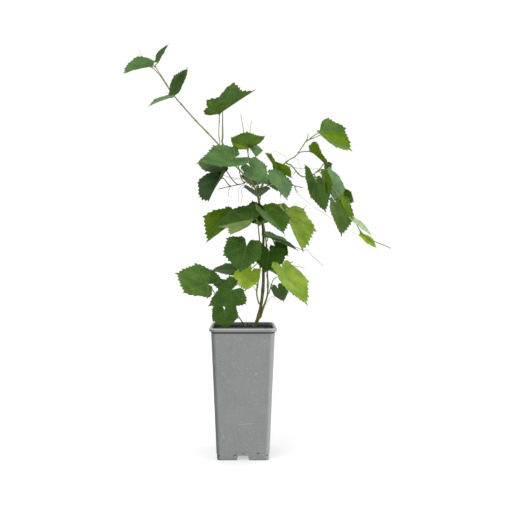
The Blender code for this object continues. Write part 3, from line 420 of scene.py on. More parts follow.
# Thin side twigs and hanging threads, each from a limb or from a mass's shoot.
SPRIGS = (
    Sprig("left_bough", 0.30, (
        (-0.052, 0.062, 0.757), (-0.051, 0.060, 0.770), (-0.051, 0.060, 0.800),
        (-0.051, 0.060, 0.836),
    ), 0.0019, "dry"),
    Sprig("left_bough", 0.30, (
        (-0.052, 0.062, 0.757), (-0.051, 0.060, 0.770), (-0.051, 0.060, 0.798),
    ), 0.0030, "bleached"),
    Sprig("foliage_crown_right", 0.80, (
        (0.124, -0.030, 0.623), (0.161, -0.036, 0.590), (0.206, -0.050, 0.557),
        (0.236, -0.055, 0.536), (0.270, -0.060, 0.516),
    ), 0.0004, "thread"),
    Sprig("foliage_crown_left", 0.05, (
        (0.000, -0.020, 0.654), (-0.017, -0.022, 0.655), (-0.032, -0.022, 0.658),
        (-0.046, -0.020, 0.662),
    ), 0.0007, "green"),
    Sprig("foliage_crown_left", 0.12, (
        (0.002, -0.024, 0.648), (-0.020, -0.026, 0.652), (-0.038, -0.024, 0.656),
    ), 0.0005, "thread"),
    Sprig("foliage_crown_left", 0.42, (
        (-0.011, -0.018, 0.628), (-0.010, -0.018, 0.612), (-0.011, -0.018, 0.597),
    ), 0.0005, "thread"),
    Sprig("foliage_crown_left", 0.32, (
        (-0.004, -0.018, 0.627), (-0.002, -0.018, 0.617), (-0.004, -0.018, 0.597),
    ), 0.0006, "thread"),
    Sprig("foliage_arm_tip", 0.45, (
        (0.150, -0.040, 0.744), (0.151, -0.040, 0.750), (0.152, -0.040, 0.757),
    ), 0.0013, "green"),
    Sprig("foliage_arm_tip", 0.10, (
        (0.127, -0.036, 0.697), (0.131, -0.038, 0.685), (0.136, -0.040, 0.672),
    ), 0.0004, "thread"),
    Sprig("right_bough", 0.62, (
        (0.096, -0.034, 0.682), (0.134, -0.046, 0.674), (0.182, -0.060, 0.671),
    ), 0.0005, "dry"),
    Sprig("right_bough", 0.90, (
        (0.101, -0.030, 0.702), (0.082, -0.030, 0.715), (0.070, -0.030, 0.716),
        (0.063, -0.030, 0.708),
    ), 0.0004, "thread"),
    Sprig("hanging_bough", 0.25, (
        (0.119, -0.050, 0.662), (0.117, -0.050, 0.658),
    ), 0.0010, "green"),
    Sprig("foliage_middle_right", 0.95, (
        (0.110, 0.004, 0.584), (0.126, 0.004, 0.596), (0.132, 0.004, 0.604),
    ), 0.0006, "green"),
    Sprig("foliage_middle_right", 0.98, (
        (0.122, 0.000, 0.580), (0.144, -0.010, 0.584), (0.151, -0.010, 0.592),
    ), 0.0006, "green"),
    Sprig("climbing_stem", 0.10, (
        (0.031, -0.006, 0.388), (0.026, -0.010, 0.397), (0.020, -0.012, 0.402),
    ), 0.0008, "green"),
    Sprig("second_stem", 0.12, (
        (0.064, -0.004, 0.369), (0.070, -0.008, 0.374), (0.079, -0.010, 0.368),
    ), 0.0006, "green"),
    Sprig("foliage_low_right", 0.85, (
        (0.096, -0.040, 0.446), (0.107, -0.038, 0.454), (0.118, -0.035, 0.457),
    ), 0.0013, "dry"),
    Sprig("foliage_low_right", 0.90, (
        (0.105, -0.040, 0.446), (0.134, -0.035, 0.445), (0.145, -0.035, 0.441),
    ), 0.0007, "dry"),
)

# A leaf that has dropped on the soil.
LITTER = (
    Leaf(0, (0.045, 0.058, 0.2905), (0.056, 0.061, 0.2915), (0.05, -0.20, 0.97),
         8, 0.6, "bright"),
)


# Sizes and colours a user may change


def length(title, default, about):
    """A length setting in metres."""
    return FloatProperty(
        name=title, description=about, default=default, min=0, unit="LENGTH", precision=4
    )


def number(title, default, about):
    """A plain number setting."""
    return FloatProperty(name=title, description=about, default=default, min=0)


def faces_round(title, default, about):
    """A setting for the faces round a tube."""
    return IntProperty(name=title, description=about, default=default, min=3)


def colour(title, default, about):
    """A plain colour setting."""
    return FloatVectorProperty(
        name=title, description=about, default=default, min=0, max=1, subtype="COLOR"
    )


def share(title, default, about):
    """A setting from 0 to 1."""
    return FloatProperty(
        name=title, description=about, default=default, min=0, max=1, subtype="FACTOR"
    )


class PotSettings(PropertyGroup):
    """Sizes and finish of the square pot."""

    height: length("Height", 0.305, "From the floor to the top of the lip")
    top_side: length("Top side", 0.148, "Outer width of the wall at the top")
    foot_side: length("Foot side", 0.1215, "Outer width of the wall at the foot")
    top_corner: length("Top corner", 0.014, "Corner radius of the wall at the top")
    foot_corner: length("Foot corner", 0.007, "Corner radius of the wall at the foot")
    wall: length("Wall", 0.0025, "Thickness of the wall")
    lip_side: length("Lip side", 0.156, "Outer width of the turned-out lip")
    lip_height: length("Lip height", 0.008, "Height of the lip's band")
    skirt_height: length("Skirt height", 0.014, "Height of the foot skirt")
    grey: colour("Plastic", (0.214, 0.220, 0.217), "Colour of the moulded plastic")
    # Also the coat of the painted highlights on the lip, the ledge and the right corners.
    dust_and_highlight: colour("Dust", (0.47, 0.48, 0.47), "Colour of dust and dried splashes")
    roughness: share("Roughness", 0.48, "Roughness of the plastic")
    # Strength of the painted shade on the faces inside the pot.
    stain: share("Stain", 0.9, "How far damp and soil have darkened the inside")


class SoilSettings(PropertyGroup):
    """Sizes and colours of the potting soil."""

    top: length("Top", 0.287, "Height of the soil above the floor")
    swell: length("Swell", 0.0025, "How far the surface rises and falls")
    crumb: length("Crumb", 0.0035, "Size of the largest crumbs")
    crumbs: number("Crumbs", 60000, "Crumbs for each square metre")
    brown: colour("Soil", (0.045, 0.030, 0.020), "Colour of moist soil")
    fibre: colour("Fibre", (0.13, 0.085, 0.05), "Colour of dry fibres and bark bits")


class StemSettings(PropertyGroup):
    """Sides, relief and colours of stems, stalks and tendrils."""

    trunk_sides: faces_round("Trunk sides", 24, "Faces round the trunk")
    cane_sides: faces_round("Cane sides", 14, "Faces round a cane")
    stalk_sides: faces_round("Stalk sides", 8, "Faces round a stalk")
    sprig_sides: faces_round("Sprig sides", 8, "Faces round a side twig or thread")
    tendril_sides: faces_round("Tendril sides", 6, "Faces round a tendril")
    bark_relief: length("Bark relief", 0.0011, "How deep the bark is furrowed")
    cane_relief: length("Cane relief", 0.00025, "How deep a green cane is ridged")
    bark: colour("Bark", (0.100, 0.096, 0.016), "Colour of the bark")
    bark_light: colour("Bark strips", (0.215, 0.192, 0.040), "Colour of lifting bark strips")
    cane: colour("Cane", (0.205, 0.280, 0.050), "Colour of green canes")
    cane_ripe: colour("Ripe cane", (0.140, 0.140, 0.032), "Colour where a cane ripens")
    stalk: colour("Stalk", (0.230, 0.320, 0.065), "Colour of leaf stalks")
    stalk_flush: colour("Stalk flush", (0.22, 0.22, 0.055), "Flush on the lit side of stalks")
    tendril: colour("Tendril", (0.250, 0.320, 0.095), "Colour of tendrils")
    dry: colour("Dry wood", (0.085, 0.060, 0.045), "Colour of dead twigs")
    dry_light: colour("Bleached wood", (0.42, 0.31, 0.13), "Colour where a dead twig has bleached")


class LeafSettings(PropertyGroup):
    """Tones and teeth of the leaf blades."""

    tooth: share("Tooth", 0.072, "Depth of a tooth, as a share of the midrib")
    roughness: share("Roughness", 0.46, "Roughness of a blade's upper side")
    # Several tones are one green with painted light in it: blue and mist carry a painted sky
    # sheen, fern, sunny and bright carry painted light shining through the blade, olive is the
    # underside's green with painted light shining through, and deep and dusk are painted shade.
    deep: colour("Deep", (0.032, 0.086, 0.006), "Old leaves in the shade")
    forest: colour("Forest", (0.043, 0.098, 0.015), "Full green")
    grass: colour("Grass", (0.042, 0.108, 0.006), "Lively green")
    fern: colour("Fern", (0.125, 0.223, 0.032), "Light green with the sun behind it")
    mid: colour("Mid", (0.078, 0.148, 0.029), "Middle green")
    cool: colour("Cool", (0.073, 0.155, 0.044), "Middle green in the open")
    blue: colour("Blue", (0.118, 0.222, 0.085), "Blue-green bloom")
    mist: colour("Mist", (0.160, 0.278, 0.122), "Blue-green where the light catches it")
    moss: colour("Moss", (0.168, 0.260, 0.063), "Grey-green bloom")
    dusk: colour("Dusk", (0.066, 0.117, 0.038), "Shaded blue-green")
    dark: colour("Dark", (0.023, 0.055, 0.014), "Darkest leaves")
    olive: colour("Olive", (0.062, 0.122, 0.003), "Undersides")
    bright: colour("Bright", (0.104, 0.185, 0.005), "Young leaves with the light in them")
    lime: colour("Lime", (0.220, 0.340, 0.034), "Yellow-green leaves")
    sunny: colour("Sunny", (0.300, 0.465, 0.038), "Yellow-green with the light in it")
    fresh: colour("Fresh", (0.240, 0.385, 0.006), "Unfolding leaves")
    pale: colour("Pale", (0.390, 0.540, 0.290), "Pale young leaves")
    scorch: colour("Scorch", (0.520, 0.470, 0.170), "Dried patches")
    vein: colour("Vein", (0.260, 0.360, 0.110), "Veins")


class StageSettings(PropertyGroup):
    """Floor, light and camera."""

    floor: colour("Floor", (0.55, 0.55, 0.55), "Colour of the floor and backdrop")
    glow: share("Glow", 0.45, "How much light the translucent floor lets through")
    sky: number("Sky", 1.02, "Strength of the even light")
    key: number("Key", 22, "Power of the main soft light in watts")
    fill: number("Fill", 9, "Power of the second light in watts")
    distance: length("Distance", 1.40, "From the camera to the middle of the pot")
    eye: length("Eye height", 0.452, "Height of the camera")
    lens: number("Lens", 41.1, "Focal length in millimetres")


# Paths


def tangents(points):
    """The direction of travel at each point of a path."""
    behind = points[:1] + points[:-1]
    ahead = points[1:] + points[-1:]
    return [(after - before).normalized() for before, after in zip(behind, ahead)]


def smooth_path(points, step=PATH_STEP):
    """A smooth curve through the points, with a point about every step."""
    points = [Vector(point) for point in points]
    heading = tangents(points)
    path = []
    for i in range(len(points) - 1):
        start, end = points[i], points[i + 1]
        reach = (end - start).length / 3
        handles = start + heading[i] * reach, end - heading[i + 1] * reach
        count = max(2, math.ceil((end - start).length / step))
        path += interpolate_bezier(start, *handles, end, count + 1)[:-1]
    return path + points[-1:]


def lengths_along(path):
    """How far each point of a path lies from its start, measured along it."""
    total = [0.0]
    for start, end in zip(path, path[1:]):
        total.append(total[-1] + (end - start).length)
    return total


def span_at(path, distance):
    """Which span of a path a distance along it falls in, and how far through that span."""
    total = lengths_along(path)
    i = max(j for j in range(len(path) - 1) if total[j] <= distance or j == 0)
    return i, (distance - total[i]) / (total[i + 1] - total[i])


def walk(path, distance):
    """The place and heading at a distance along a path."""
    i, part = span_at(path, distance)
    return path[i].lerp(path[i + 1], part), (path[i + 1] - path[i]).normalized()


def place_on(shoot, at):
    """The place and heading at a share of a shoot's length, kept off its two ends."""
    total = lengths_along(shoot)[-1]
    return walk(shoot, min(max(at * total, SPUR), total - SPUR / 2))


def taper(path, radius, tip_radius, flare=0.0):
    """A radius for each point, from radius to tip_radius, with a root flare at the start."""
    total = lengths_along(path)
    return [
        (radius + (tip_radius - radius) * far / total[-1])
        * (1 + flare * math.exp(-far / FLARE_REACH))
        for far in total
    ]


def swelling(far, spot, reach):
    """How much of a swelling round a spot is felt this far along a path."""
    return math.exp(-(((far - spot) / reach) ** 2))


def knuckles(place, joints, chance):
    """The same path with a swollen joint about every spacing along it."""
    spacing, swell = joints
    total = lengths_along(place.path)
    spots = []
    spot = spacing * chance.uniform(*FIRST_JOINT)
    while spot < total[-1]:
        spots.append(spot)
        spot += spacing * chance.uniform(*JOINT_SPREAD)
    radii = [
        radius * (1 + swell * sum(swelling(far, spot, JOINT_REACH * radius) for spot in spots))
        for far, radius in zip(total, place.radii)
    ]
    return Place(place.path, radii)


def leave_parent(parent, at, toward):
    """Where a limb starts, sunk in its parent's side or just off its tip, and its heading."""
    distance = lengths_along(parent.path)[-1] * at
    spot, along = walk(parent.path, distance)
    if at == 1:
        return spot + along * GAP, along
    outward = (Vector(toward) - spot).normalized()
    outward = (outward - outward.project(along)).normalized()
    i, part = span_at(parent.path, distance)
    radius = parent.radii[i] + (parent.radii[i + 1] - parent.radii[i]) * part
    return spot + outward * radius * SUNK_FOOT, outward


def grown_path(row, limbs, points):
    """The path of a limb or shoot: from the soil, or from its parent by way of a short spur."""
    if row.parent is None:
        foot = Vector(points[0])
        return [foot, *smooth_path([foot + Vector((0, 0, SPUR)), *points[1:]])]
    start, outward = leave_parent(limbs[row.parent], row.at, points[0])
    return smooth_path([start, start + outward * SPUR, *points])


def limb_places():
    """The path and radii of every limb by its name."""
    limbs = {}
    for row in LIMBS:
        path = grown_path(row, limbs, row.path)
        flare = TRUNK_FLARE if row.parent is None else 0
        limbs[row.name] = Place(path, taper(path, row.radius, row.tip_radius, flare))
    return limbs


# Node helpers

FLOAT, VECTOR = "NodeSocketFloat", "NodeSocketVector"
WHOLE, SHAPE, MATERIAL = "NodeSocketInt", "NodeSocketGeometry", "NodeSocketMaterial"


def add_node(tree, kind, values=None, **settings):
    """A node with its settings made and its inputs given values or linked to sockets."""
    node = tree.nodes.new(kind)
    for key, value in settings.items():
        setattr(node, key, value)
    for key, value in (values or {}).items():
        if isinstance(value, NodeSocket):
            tree.links.new(value, node.inputs[key])
        else:
            node.inputs[key].default_value = value
    return node


def maths(tree, operation, *values):
    """The result of a Math node."""
    values = dict(enumerate(values))
    return add_node(tree, "ShaderNodeMath", values, operation=operation).outputs[0]


def times(tree, first, second):
    """One value multiplied by another."""
    return maths(tree, "MULTIPLY", first, second)


def vector_maths(tree, operation, first, second):
    """The result of a Vector Math node. The second value of a scaling is a number."""
    values = {0: first, 3 if operation == "SCALE" else 1: second}
    return add_node(tree, "ShaderNodeVectorMath", values, operation=operation).outputs[0]


def ramp(tree, value, low, high):
    """A value stretched from low and high to 0 and 1, eased at both ends."""
    values = {0: value, 1: low, 2: high}
    return add_node(
        tree, "ShaderNodeMapRange", values, interpolation_type="SMOOTHSTEP"
    ).outputs[0]


def band(tree, height, low, high, soft):
    """1 between two heights, fading over a soft edge at each."""
    rising = ramp(tree, height, low - soft, low)
    falling = ramp(tree, height, high + soft, high)
    return times(tree, rising, falling)


def cloud(tree, vector, scale, detail):
    """The strength of a noise texture."""
    values = {"Vector": vector, "Scale": scale, "Detail": detail}
    return add_node(tree, "ShaderNodeTexNoise", values).outputs[0]


def split_vector(tree, vector):
    """The three parts of a vector."""
    return add_node(tree, "ShaderNodeSeparateXYZ", {0: vector}).outputs


def kept_value(tree, name, output):
    """What the mesh keeps under a name, for a shader."""
    return add_node(tree, "ShaderNodeAttribute", attribute_name=name).outputs[output]


def group_tree(name, kind, inputs, outputs):
    """A new node group with its sockets, and its input and output nodes."""
    tree = bpy.data.node_groups.new(name, kind)
    for title, socket, default in inputs:
        made = tree.interface.new_socket(title, in_out="INPUT", socket_type=socket)
        if default is not None:
            made.default_value = default
    for title, socket in outputs:
        tree.interface.new_socket(title, in_out="OUTPUT", socket_type=socket)
    return tree, tree.nodes.new("NodeGroupInput"), tree.nodes.new("NodeGroupOutput")


def hand_out(tree, made, values):
    """What a group gives, by the title or place of each output."""
    for title, value in values.items():
        tree.links.new(value, made.inputs[title])


def use_group(tree, name, values):
    """A shader node group placed in a tree with its own values."""
    return add_node(tree, "ShaderNodeGroup", values, node_tree=bpy.data.node_groups[name])


# Shader groups

STREAK_STRETCH = 0.08  # along a stem, as a share of the way round it
BLOTCH_FINENESS = 0.12  # as a share of the fineness of the streaks
MIDWAY = 0.5  # a side vein lies at every whole count, so no place is further off one than this
MAIN_VEIN_WIDTH, MAIN_VEIN_THINS = 0.017, -0.010
SIDE_VEIN_WIDTH, SIDE_VEIN_THINS = 0.075, -0.10
MAIN_VEIN_EDGE, SIDE_VEIN_EDGE = (1.0, 0.35), (1.0, 0.3)  # each fades out and is full at these
SCUFF_ENDS, SCUFF_FLANKS = (0.5, 0.2), (0.5, 0.1)
POT_FRONT = (0.02, 0.01)  # how far behind a mark's middle it fades, so that it stays on one side


def make_speckle_group():
    """Large and small blotches in the object's own space, for colour and for relief."""
    tree, given, made = group_tree(
        "Speckle", "ShaderNodeTree",
        (("Vector", VECTOR, None), ("Blotch size", FLOAT, 0.01), ("Grain size", FLOAT, 0.001)),
        (("Blotch", FLOAT), ("Grain", FLOAT)),
    )
    for title, detail in (("Blotch", 4), ("Grain", 3)):
        scale = maths(tree, "DIVIDE", 1.0, given.outputs[title + " size"])
        hand_out(tree, made, {title: cloud(tree, given.outputs["Vector"], scale, detail)})


def make_grain_group():
    """Streaks that run along a stem, from its place attribute."""
    tree, given, made = group_tree(
        "Stem grain", "ShaderNodeTree",
        (("Fineness", FLOAT, 900.0), ("Stretch", FLOAT, STREAK_STRETCH)),
        (("Streak", FLOAT), ("Blotch", FLOAT)),
    )
    fineness = given.outputs["Fineness"]
    place = kept_value(tree, "stem_place", "Vector")
    stretch = {0: 1.0, 1: 1.0, 2: given.outputs["Stretch"]}
    drawn = add_node(tree, "ShaderNodeCombineXYZ", stretch).outputs[0]
    streak = cloud(tree, vector_maths(tree, "MULTIPLY", place, drawn), fineness, 4.0)
    blotch = cloud(tree, place, times(tree, fineness, BLOTCH_FINENESS), 3.0)
    hand_out(tree, made, {"Streak": streak, "Blotch": blotch})


def make_vein_group():
    """The net of veins on a blade, from its place attribute: side-vein count, distance, share."""
    tree, _, made = group_tree(
        "Vein net", "ShaderNodeTree", (),
        (("Main", FLOAT), ("Side", FLOAT), ("Height", FLOAT), ("Edge", FLOAT)),
    )
    count, distance, edge = split_vector(tree, kept_value(tree, "leaf_place", "Vector"))
    width = maths(tree, "MULTIPLY_ADD", edge, MAIN_VEIN_THINS, MAIN_VEIN_WIDTH)
    large = ramp(tree, maths(tree, "DIVIDE", distance, width), *MAIN_VEIN_EDGE)
    off = maths(tree, "PINGPONG", count, MIDWAY)
    width = maths(tree, "MULTIPLY_ADD", distance, SIDE_VEIN_THINS, SIDE_VEIN_WIDTH)
    small = ramp(tree, maths(tree, "DIVIDE", off, width), *SIDE_VEIN_EDGE)
    pillow = maths(tree, "SQRT", times(tree, off, 1 / MIDWAY))
    height = maths(tree, "SUBTRACT", pillow, large)
    hand_out(tree, made, {"Main": large, "Side": small, "Height": height, "Edge": edge})


def make_scuff_group():
    """One mark on the pot's front, faded at its ends and sides."""
    tree, given, made = group_tree(
        "Scuff", "ShaderNodeTree",
        (
            ("Vector", VECTOR, None), ("Middle", VECTOR, None), ("Turn", FLOAT, 0.0),
            ("Length", FLOAT, 0.01), ("Width", FLOAT, 0.001),
        ),
        (("Mask", FLOAT),),
    )
    given = given.outputs
    away = vector_maths(tree, "SUBTRACT", given["Vector"], given["Middle"])
    values = {"Vector": away, "Angle": given["Turn"]}
    turned = add_node(tree, "ShaderNodeVectorRotate", values, rotation_type="Y_AXIS").outputs[0]
    along, deep, aside = split_vector(tree, turned)
    ends = maths(tree, "DIVIDE", maths(tree, "ABSOLUTE", along), given["Length"])
    flanks = maths(tree, "DIVIDE", maths(tree, "ABSOLUTE", aside), given["Width"])
    mask = times(tree, ramp(tree, ends, *SCUFF_ENDS), ramp(tree, flanks, *SCUFF_FLANKS))
    hand_out(tree, made, {"Mask": times(tree, mask, ramp(tree, deep, *POT_FRONT))})


# Materials

Side = namedtuple("Side", "dulls veins relief gloss")
Skin = namedtuple("Skin", "roughness fineness relief contrast")

UPPER_SIDE = Side(0, 0.30, 0.0006, 0.07)
UNDERSIDE = Side(0.16, 0.45, -0.0006, 0.03)
LEAF_LIGHT, LEAF_SHADE = (1.28, 1.22, 1.10), (0.74, 0.80, 0.80)
MAIN_VEINS, SIDE_VEINS = 0.60, 0.34  # how strongly each shows
LEAF_RIM, LEAF_RIM_AMOUNT = (0.93, 1.0), 0.35
LEAF_GRAIN_AMOUNT = 0.22
LEAF_GRAIN_HEIGHT = 0.25
LEAF_BUMP = 0.35
STEM_BUMP = 0.5
SOIL_ROUGHNESS, SOIL_BUMP, SOIL_SHADE = 0.92, (0.8, 0.001), (0.5, 0.5, 0.5)
FLOOR_ROUGHNESS, FLOOR_GLOSS, FLOOR_SHADE = 0.9, 0.1, (0.985, 0.985, 0.985)

# The sizes of each material's blotches and grain, in metres.
LEAF_SPECKLE = (0.022, 0.0016)
POT_SPECKLE = (0.050, 0.0034)
SOIL_SPECKLE = (0.012, 0.0018)
FLOOR_SPECKLE = (0.6, 0.02)

# The range of noise over which one colour gives way to another.
LEAF_BLOTCHES = (0.30, 0.70)
STEM_BLOTCHES = (0.62, 0.40)
SOIL_BLOTCHES, SOIL_FIBRES = (0.35, 0.65), (0.58, 0.68)
POT_BLOTCHES, POT_DUST, POT_DRAG = (0.35, 0.68), (0.54, 0.72), (0.42, 0.66)

BARK_SKIN = Skin(0.82, 1100.0, 0.0012, 0.13)
CANE_SKIN = Skin(0.5, 900.0, 0.0004, 0.20)
SHOOT_SKIN = Skin(0.5, 900.0, 0.0003, 0.25)
STALK_SKIN = Skin(0.45, 700.0, 0.0002, 0.30)
TENDRIL_SKIN = Skin(0.5, 700.0, 0.0002, 0.25)
SPRIG_SKIN = Skin(0.6, 700.0, 0.0003, 0.25)
SKIN_SHADE = (0.62, 0.60, 0.58)

# Marks on the pot's front: middle, turn in degrees, length and width.
SCUFFS = (
    ((0.030, -0.070, 0.2010), 42, 0.014, 0.0022),
    ((0.030, -0.070, 0.2010), -52, 0.012, 0.0020),
    ((0.007, -0.067, 0.0850), 3, 0.052, 0.0018),
    ((-0.044, -0.066, 0.0560), -60, 0.008, 0.0028),
    ((0.009, -0.070, 0.2130), 35, 0.006, 0.0022),
    ((0.034, -0.072, 0.2390), 70, 0.007, 0.0024),
)
CAUGHT_DIRT = (
    ((-0.0185, -0.060, 0.0120), 25, 0.0100, 0.0060),
    ((0.0012, -0.060, 0.0160), 0, 0.0065, 0.0042),
    ((0.0346, -0.060, 0.0160), 10, 0.0090, 0.0056),
    ((0.0553, -0.060, 0.0120), -20, 0.0065, 0.0060),
    ((-0.0565, -0.060, 0.0110), 40, 0.0110, 0.0070),
)
SCUFF_AMOUNT, DIRT_AMOUNT = 0.42, 0.75

# A coat comes in between two heights, measured from a line of the pot, and is this strong.
LIP_TONE = (-0.0005, 0.0005, 0.08)
# Painted highlight along the top of the lip.
LIP_HIGHLIGHT = (-0.0040, -0.0015, 0.62)
# Darker towards the foot.
FOOT_DARKENING = (0.0035, 0.0005, 0.35)
# A band lies between two heights, and has a soft edge before its strength.
# Painted shade in a thin line round the lip.
LIP_LINE_SHADE = (-0.0052, -0.0042, 0.0008, 0.10)
# Painted shadow under the lip.
UNDER_LIP_SHADOW = (-0.0034, 0.0, 0.0012, 0.96)
# Painted highlight along the ledge above the skirt.
LEDGE_HIGHLIGHT = (-0.0012, -0.0004, 0.0008, 0.30)

# Painted shade on the two left corners and a painted highlight on the two right ones,
# between two shares of half the pot's width.
CORNERS, SHADED_CORNERS, LIT_CORNERS = (0.55, 0.80), (-0.83, -0.95), (0.82, 0.93)
CORNER_SHADE_TINT, CORNER_SHADE_AMOUNT = (0.26, 0.33, 0.31), 0.85
CORNER_HIGHLIGHT_AMOUNT = 0.50

POT_SHADE = (0.90, 0.94, 0.94)
POT_BUMP = (0.25, 0.0003)
POT_UNEVEN, POT_SMOOTHEST = 0.25, 0.12  # its roughness starts this far below the set one
# Darkening coat: caught dirt, the darker foot, and painted shade on and under the lip.
GRIME_AND_SHADE = (0.11, 0.12, 0.12)
# Painted shade inside the pot.
INSIDE_SHADE_TINT = (0.42, 0.46, 0.50)
DRAG_SHAPE, DRAG_SCALE, DRAG_AMOUNT = (1.0, 1.0, 0.06), 420.0, 0.05
DUST_AMOUNT = 0.26


def new_material(name, roughness):
    """A material with its tree and its Principled shader."""
    material = bpy.data.materials.new(name)
    material.use_nodes = True
    shader = material.node_tree.nodes["Principled BSDF"]
    shader.inputs["Roughness"].default_value = roughness
    return material, material.node_tree, shader


def opaque(value):
    """A colour setting with its alpha."""
    return (*value, 1)


def blend_colours(tree, factor, first, second, mode="MIX"):
    """The result of mixing two colours."""
    values = {0: factor, 6: first, 7: second}
    return add_node(tree, "ShaderNodeMix", values, data_type="RGBA", blend_type=mode).outputs[2]


def tinted(tree, body, tint):
    """A colour multiplied by a tint."""
    return blend_colours(tree, 1.0, body, opaque(tint), "MULTIPLY")


def lay(tree, body, mask, amount, coat):
    """A colour under a coat, which is this strong where the mask is 1."""
    return blend_colours(tree, times(tree, mask, amount), body, coat)


def add_bump(tree, shader, height, strength, distance):
    """Relief that only the light sees."""
    values = {"Height": height, "Strength": strength, "Distance": distance}
    bump = add_node(tree, "ShaderNodeBump", values)
    tree.links.new(bump.outputs["Normal"], shader.inputs["Normal"])


def speckled(tree, blotch, grain):
    """The object's own space, with blotches and grain of these sizes in it."""
    space = add_node(tree, "ShaderNodeTexCoord").outputs["Object"]
    values = {"Vector": space, "Blotch size": blotch, "Grain size": grain}
    return space, use_group(tree, "Speckle", values).outputs


def leaf_material(name, leaves, side):
    """A blade's upper side or underside: its own tone, veins, blotches and a faint edge."""
    material, tree, shader = new_material(name, leaves.roughness + side.dulls)
    tone = kept_value(tree, "leaf_tone", "Color")
    veins = use_group(tree, "Vein net", {}).outputs
    _, speckle = speckled(tree, *LEAF_SPECKLE)
    light, shade = tinted(tree, tone, LEAF_LIGHT), tinted(tree, tone, LEAF_SHADE)
    body = blend_colours(tree, ramp(tree, speckle["Blotch"], *LEAF_BLOTCHES), shade, light)
    body = lay(tree, body, speckle["Grain"], LEAF_GRAIN_AMOUNT, shade)
    line = blend_colours(tree, side.veins, light, opaque(leaves.vein))
    small, large = times(tree, veins["Side"], SIDE_VEINS), times(tree, veins["Main"], MAIN_VEINS)
    body = blend_colours(tree, maths(tree, "MAXIMUM", small, large), body, line)
    body = lay(tree, body, ramp(tree, veins["Edge"], *LEAF_RIM), LEAF_RIM_AMOUNT, light)
    tree.links.new(body, shader.inputs["Base Color"])
    height = maths(tree, "MULTIPLY_ADD", speckle["Grain"], LEAF_GRAIN_HEIGHT, veins["Height"])
    add_bump(tree, shader, height, LEAF_BUMP, side.relief)
    shader.inputs["Specular IOR Level"].default_value = side.gloss
    return material


def stem_material(name, first, second, skin):
    """A stem's skin: two colours in streaks along it, with a little relief."""
    material, tree, shader = new_material(name, skin.roughness)
    grain = use_group(tree, "Stem grain", {"Fineness": skin.fineness}).outputs
    streak = ramp(tree, grain["Streak"], 0.5 - skin.contrast, 0.5 + skin.contrast)
    body = blend_colours(tree, streak, opaque(first), opaque(second))
    dim = tinted(tree, body, SKIN_SHADE)
    body = blend_colours(tree, ramp(tree, grain["Blotch"], *STEM_BLOTCHES), body, dim)
    tree.links.new(body, shader.inputs["Base Color"])
    add_bump(tree, shader, grain["Streak"], STEM_BUMP, skin.relief)
    return material


def lay_marks(tree, body, space, marks, amount, coat):
    """A colour under a table's marks."""
    for middle, turn, long, wide in marks:
        values = {
            "Vector": space, "Middle": middle, "Turn": math.radians(turn),
            "Length": long, "Width": wide,
        }
        body = lay(tree, body, use_group(tree, "Scuff", values).outputs[0], amount, coat)
    return body


def paint_corner_light(tree, body, pot, place, dust_and_highlight):
    """Paints shade on the two left corners, and a highlight on the two right ones."""
    across, deep, height = place
    slope = (pot.top_side - pot.foot_side) / (2 * pot.height)
    half = maths(tree, "MULTIPLY_ADD", height, slope, pot.foot_side / 2)
    across = maths(tree, "DIVIDE", across, half)
    deep = maths(tree, "DIVIDE", maths(tree, "ABSOLUTE", deep), half)
    corner = ramp(tree, deep, *CORNERS)
    # Painted shade on the left corners.
    left = times(tree, corner, ramp(tree, across, *SHADED_CORNERS))
    body = lay(tree, body, left, CORNER_SHADE_AMOUNT, tinted(tree, body, CORNER_SHADE_TINT))
    # Painted highlight on the right corners.
    right = times(tree, corner, ramp(tree, across, *LIT_CORNERS))
    return lay(tree, body, right, CORNER_HIGHLIGHT_AMOUNT, dust_and_highlight)


def coat_between(tree, body, height, line, how, coat):
    """A coat that comes in between two heights, or lies in a band if a soft edge is given."""
    low, high, *soft, amount = how
    mask = (band if soft else ramp)(tree, height, line + low, line + high, *soft)
    return lay(tree, body, mask, amount, coat)


def paint_rims(tree, body, pot, space, height, dust_and_highlight):
    """The lip a little paler, a painted highlight on its top, a painted line of shade on it and a
    painted shadow under it; a painted highlight and caught dirt at the ledge; darker towards the
    foot.
    """
    lip_foot = pot.height - pot.lip_height
    body = coat_between(tree, body, height, lip_foot, LIP_TONE, dust_and_highlight)
    # Painted highlight on the lip's top.
    body = coat_between(tree, body, height, pot.height, LIP_HIGHLIGHT, dust_and_highlight)
    grime_and_shade = tinted(tree, body, GRIME_AND_SHADE)
    # Painted shade in a line on the lip, and a painted shadow under it.
    body = coat_between(tree, body, height, pot.height, LIP_LINE_SHADE, grime_and_shade)
    body = coat_between(tree, body, height, lip_foot, UNDER_LIP_SHADOW, grime_and_shade)
    # Painted highlight on the ledge.
    body = coat_between(tree, body, height, pot.skirt_height, LEDGE_HIGHLIGHT, dust_and_highlight)
    body = lay_marks(tree, body, space, CAUGHT_DIRT, DIRT_AMOUNT, grime_and_shade)
    return coat_between(tree, body, height, 0, FOOT_DARKENING, grime_and_shade)


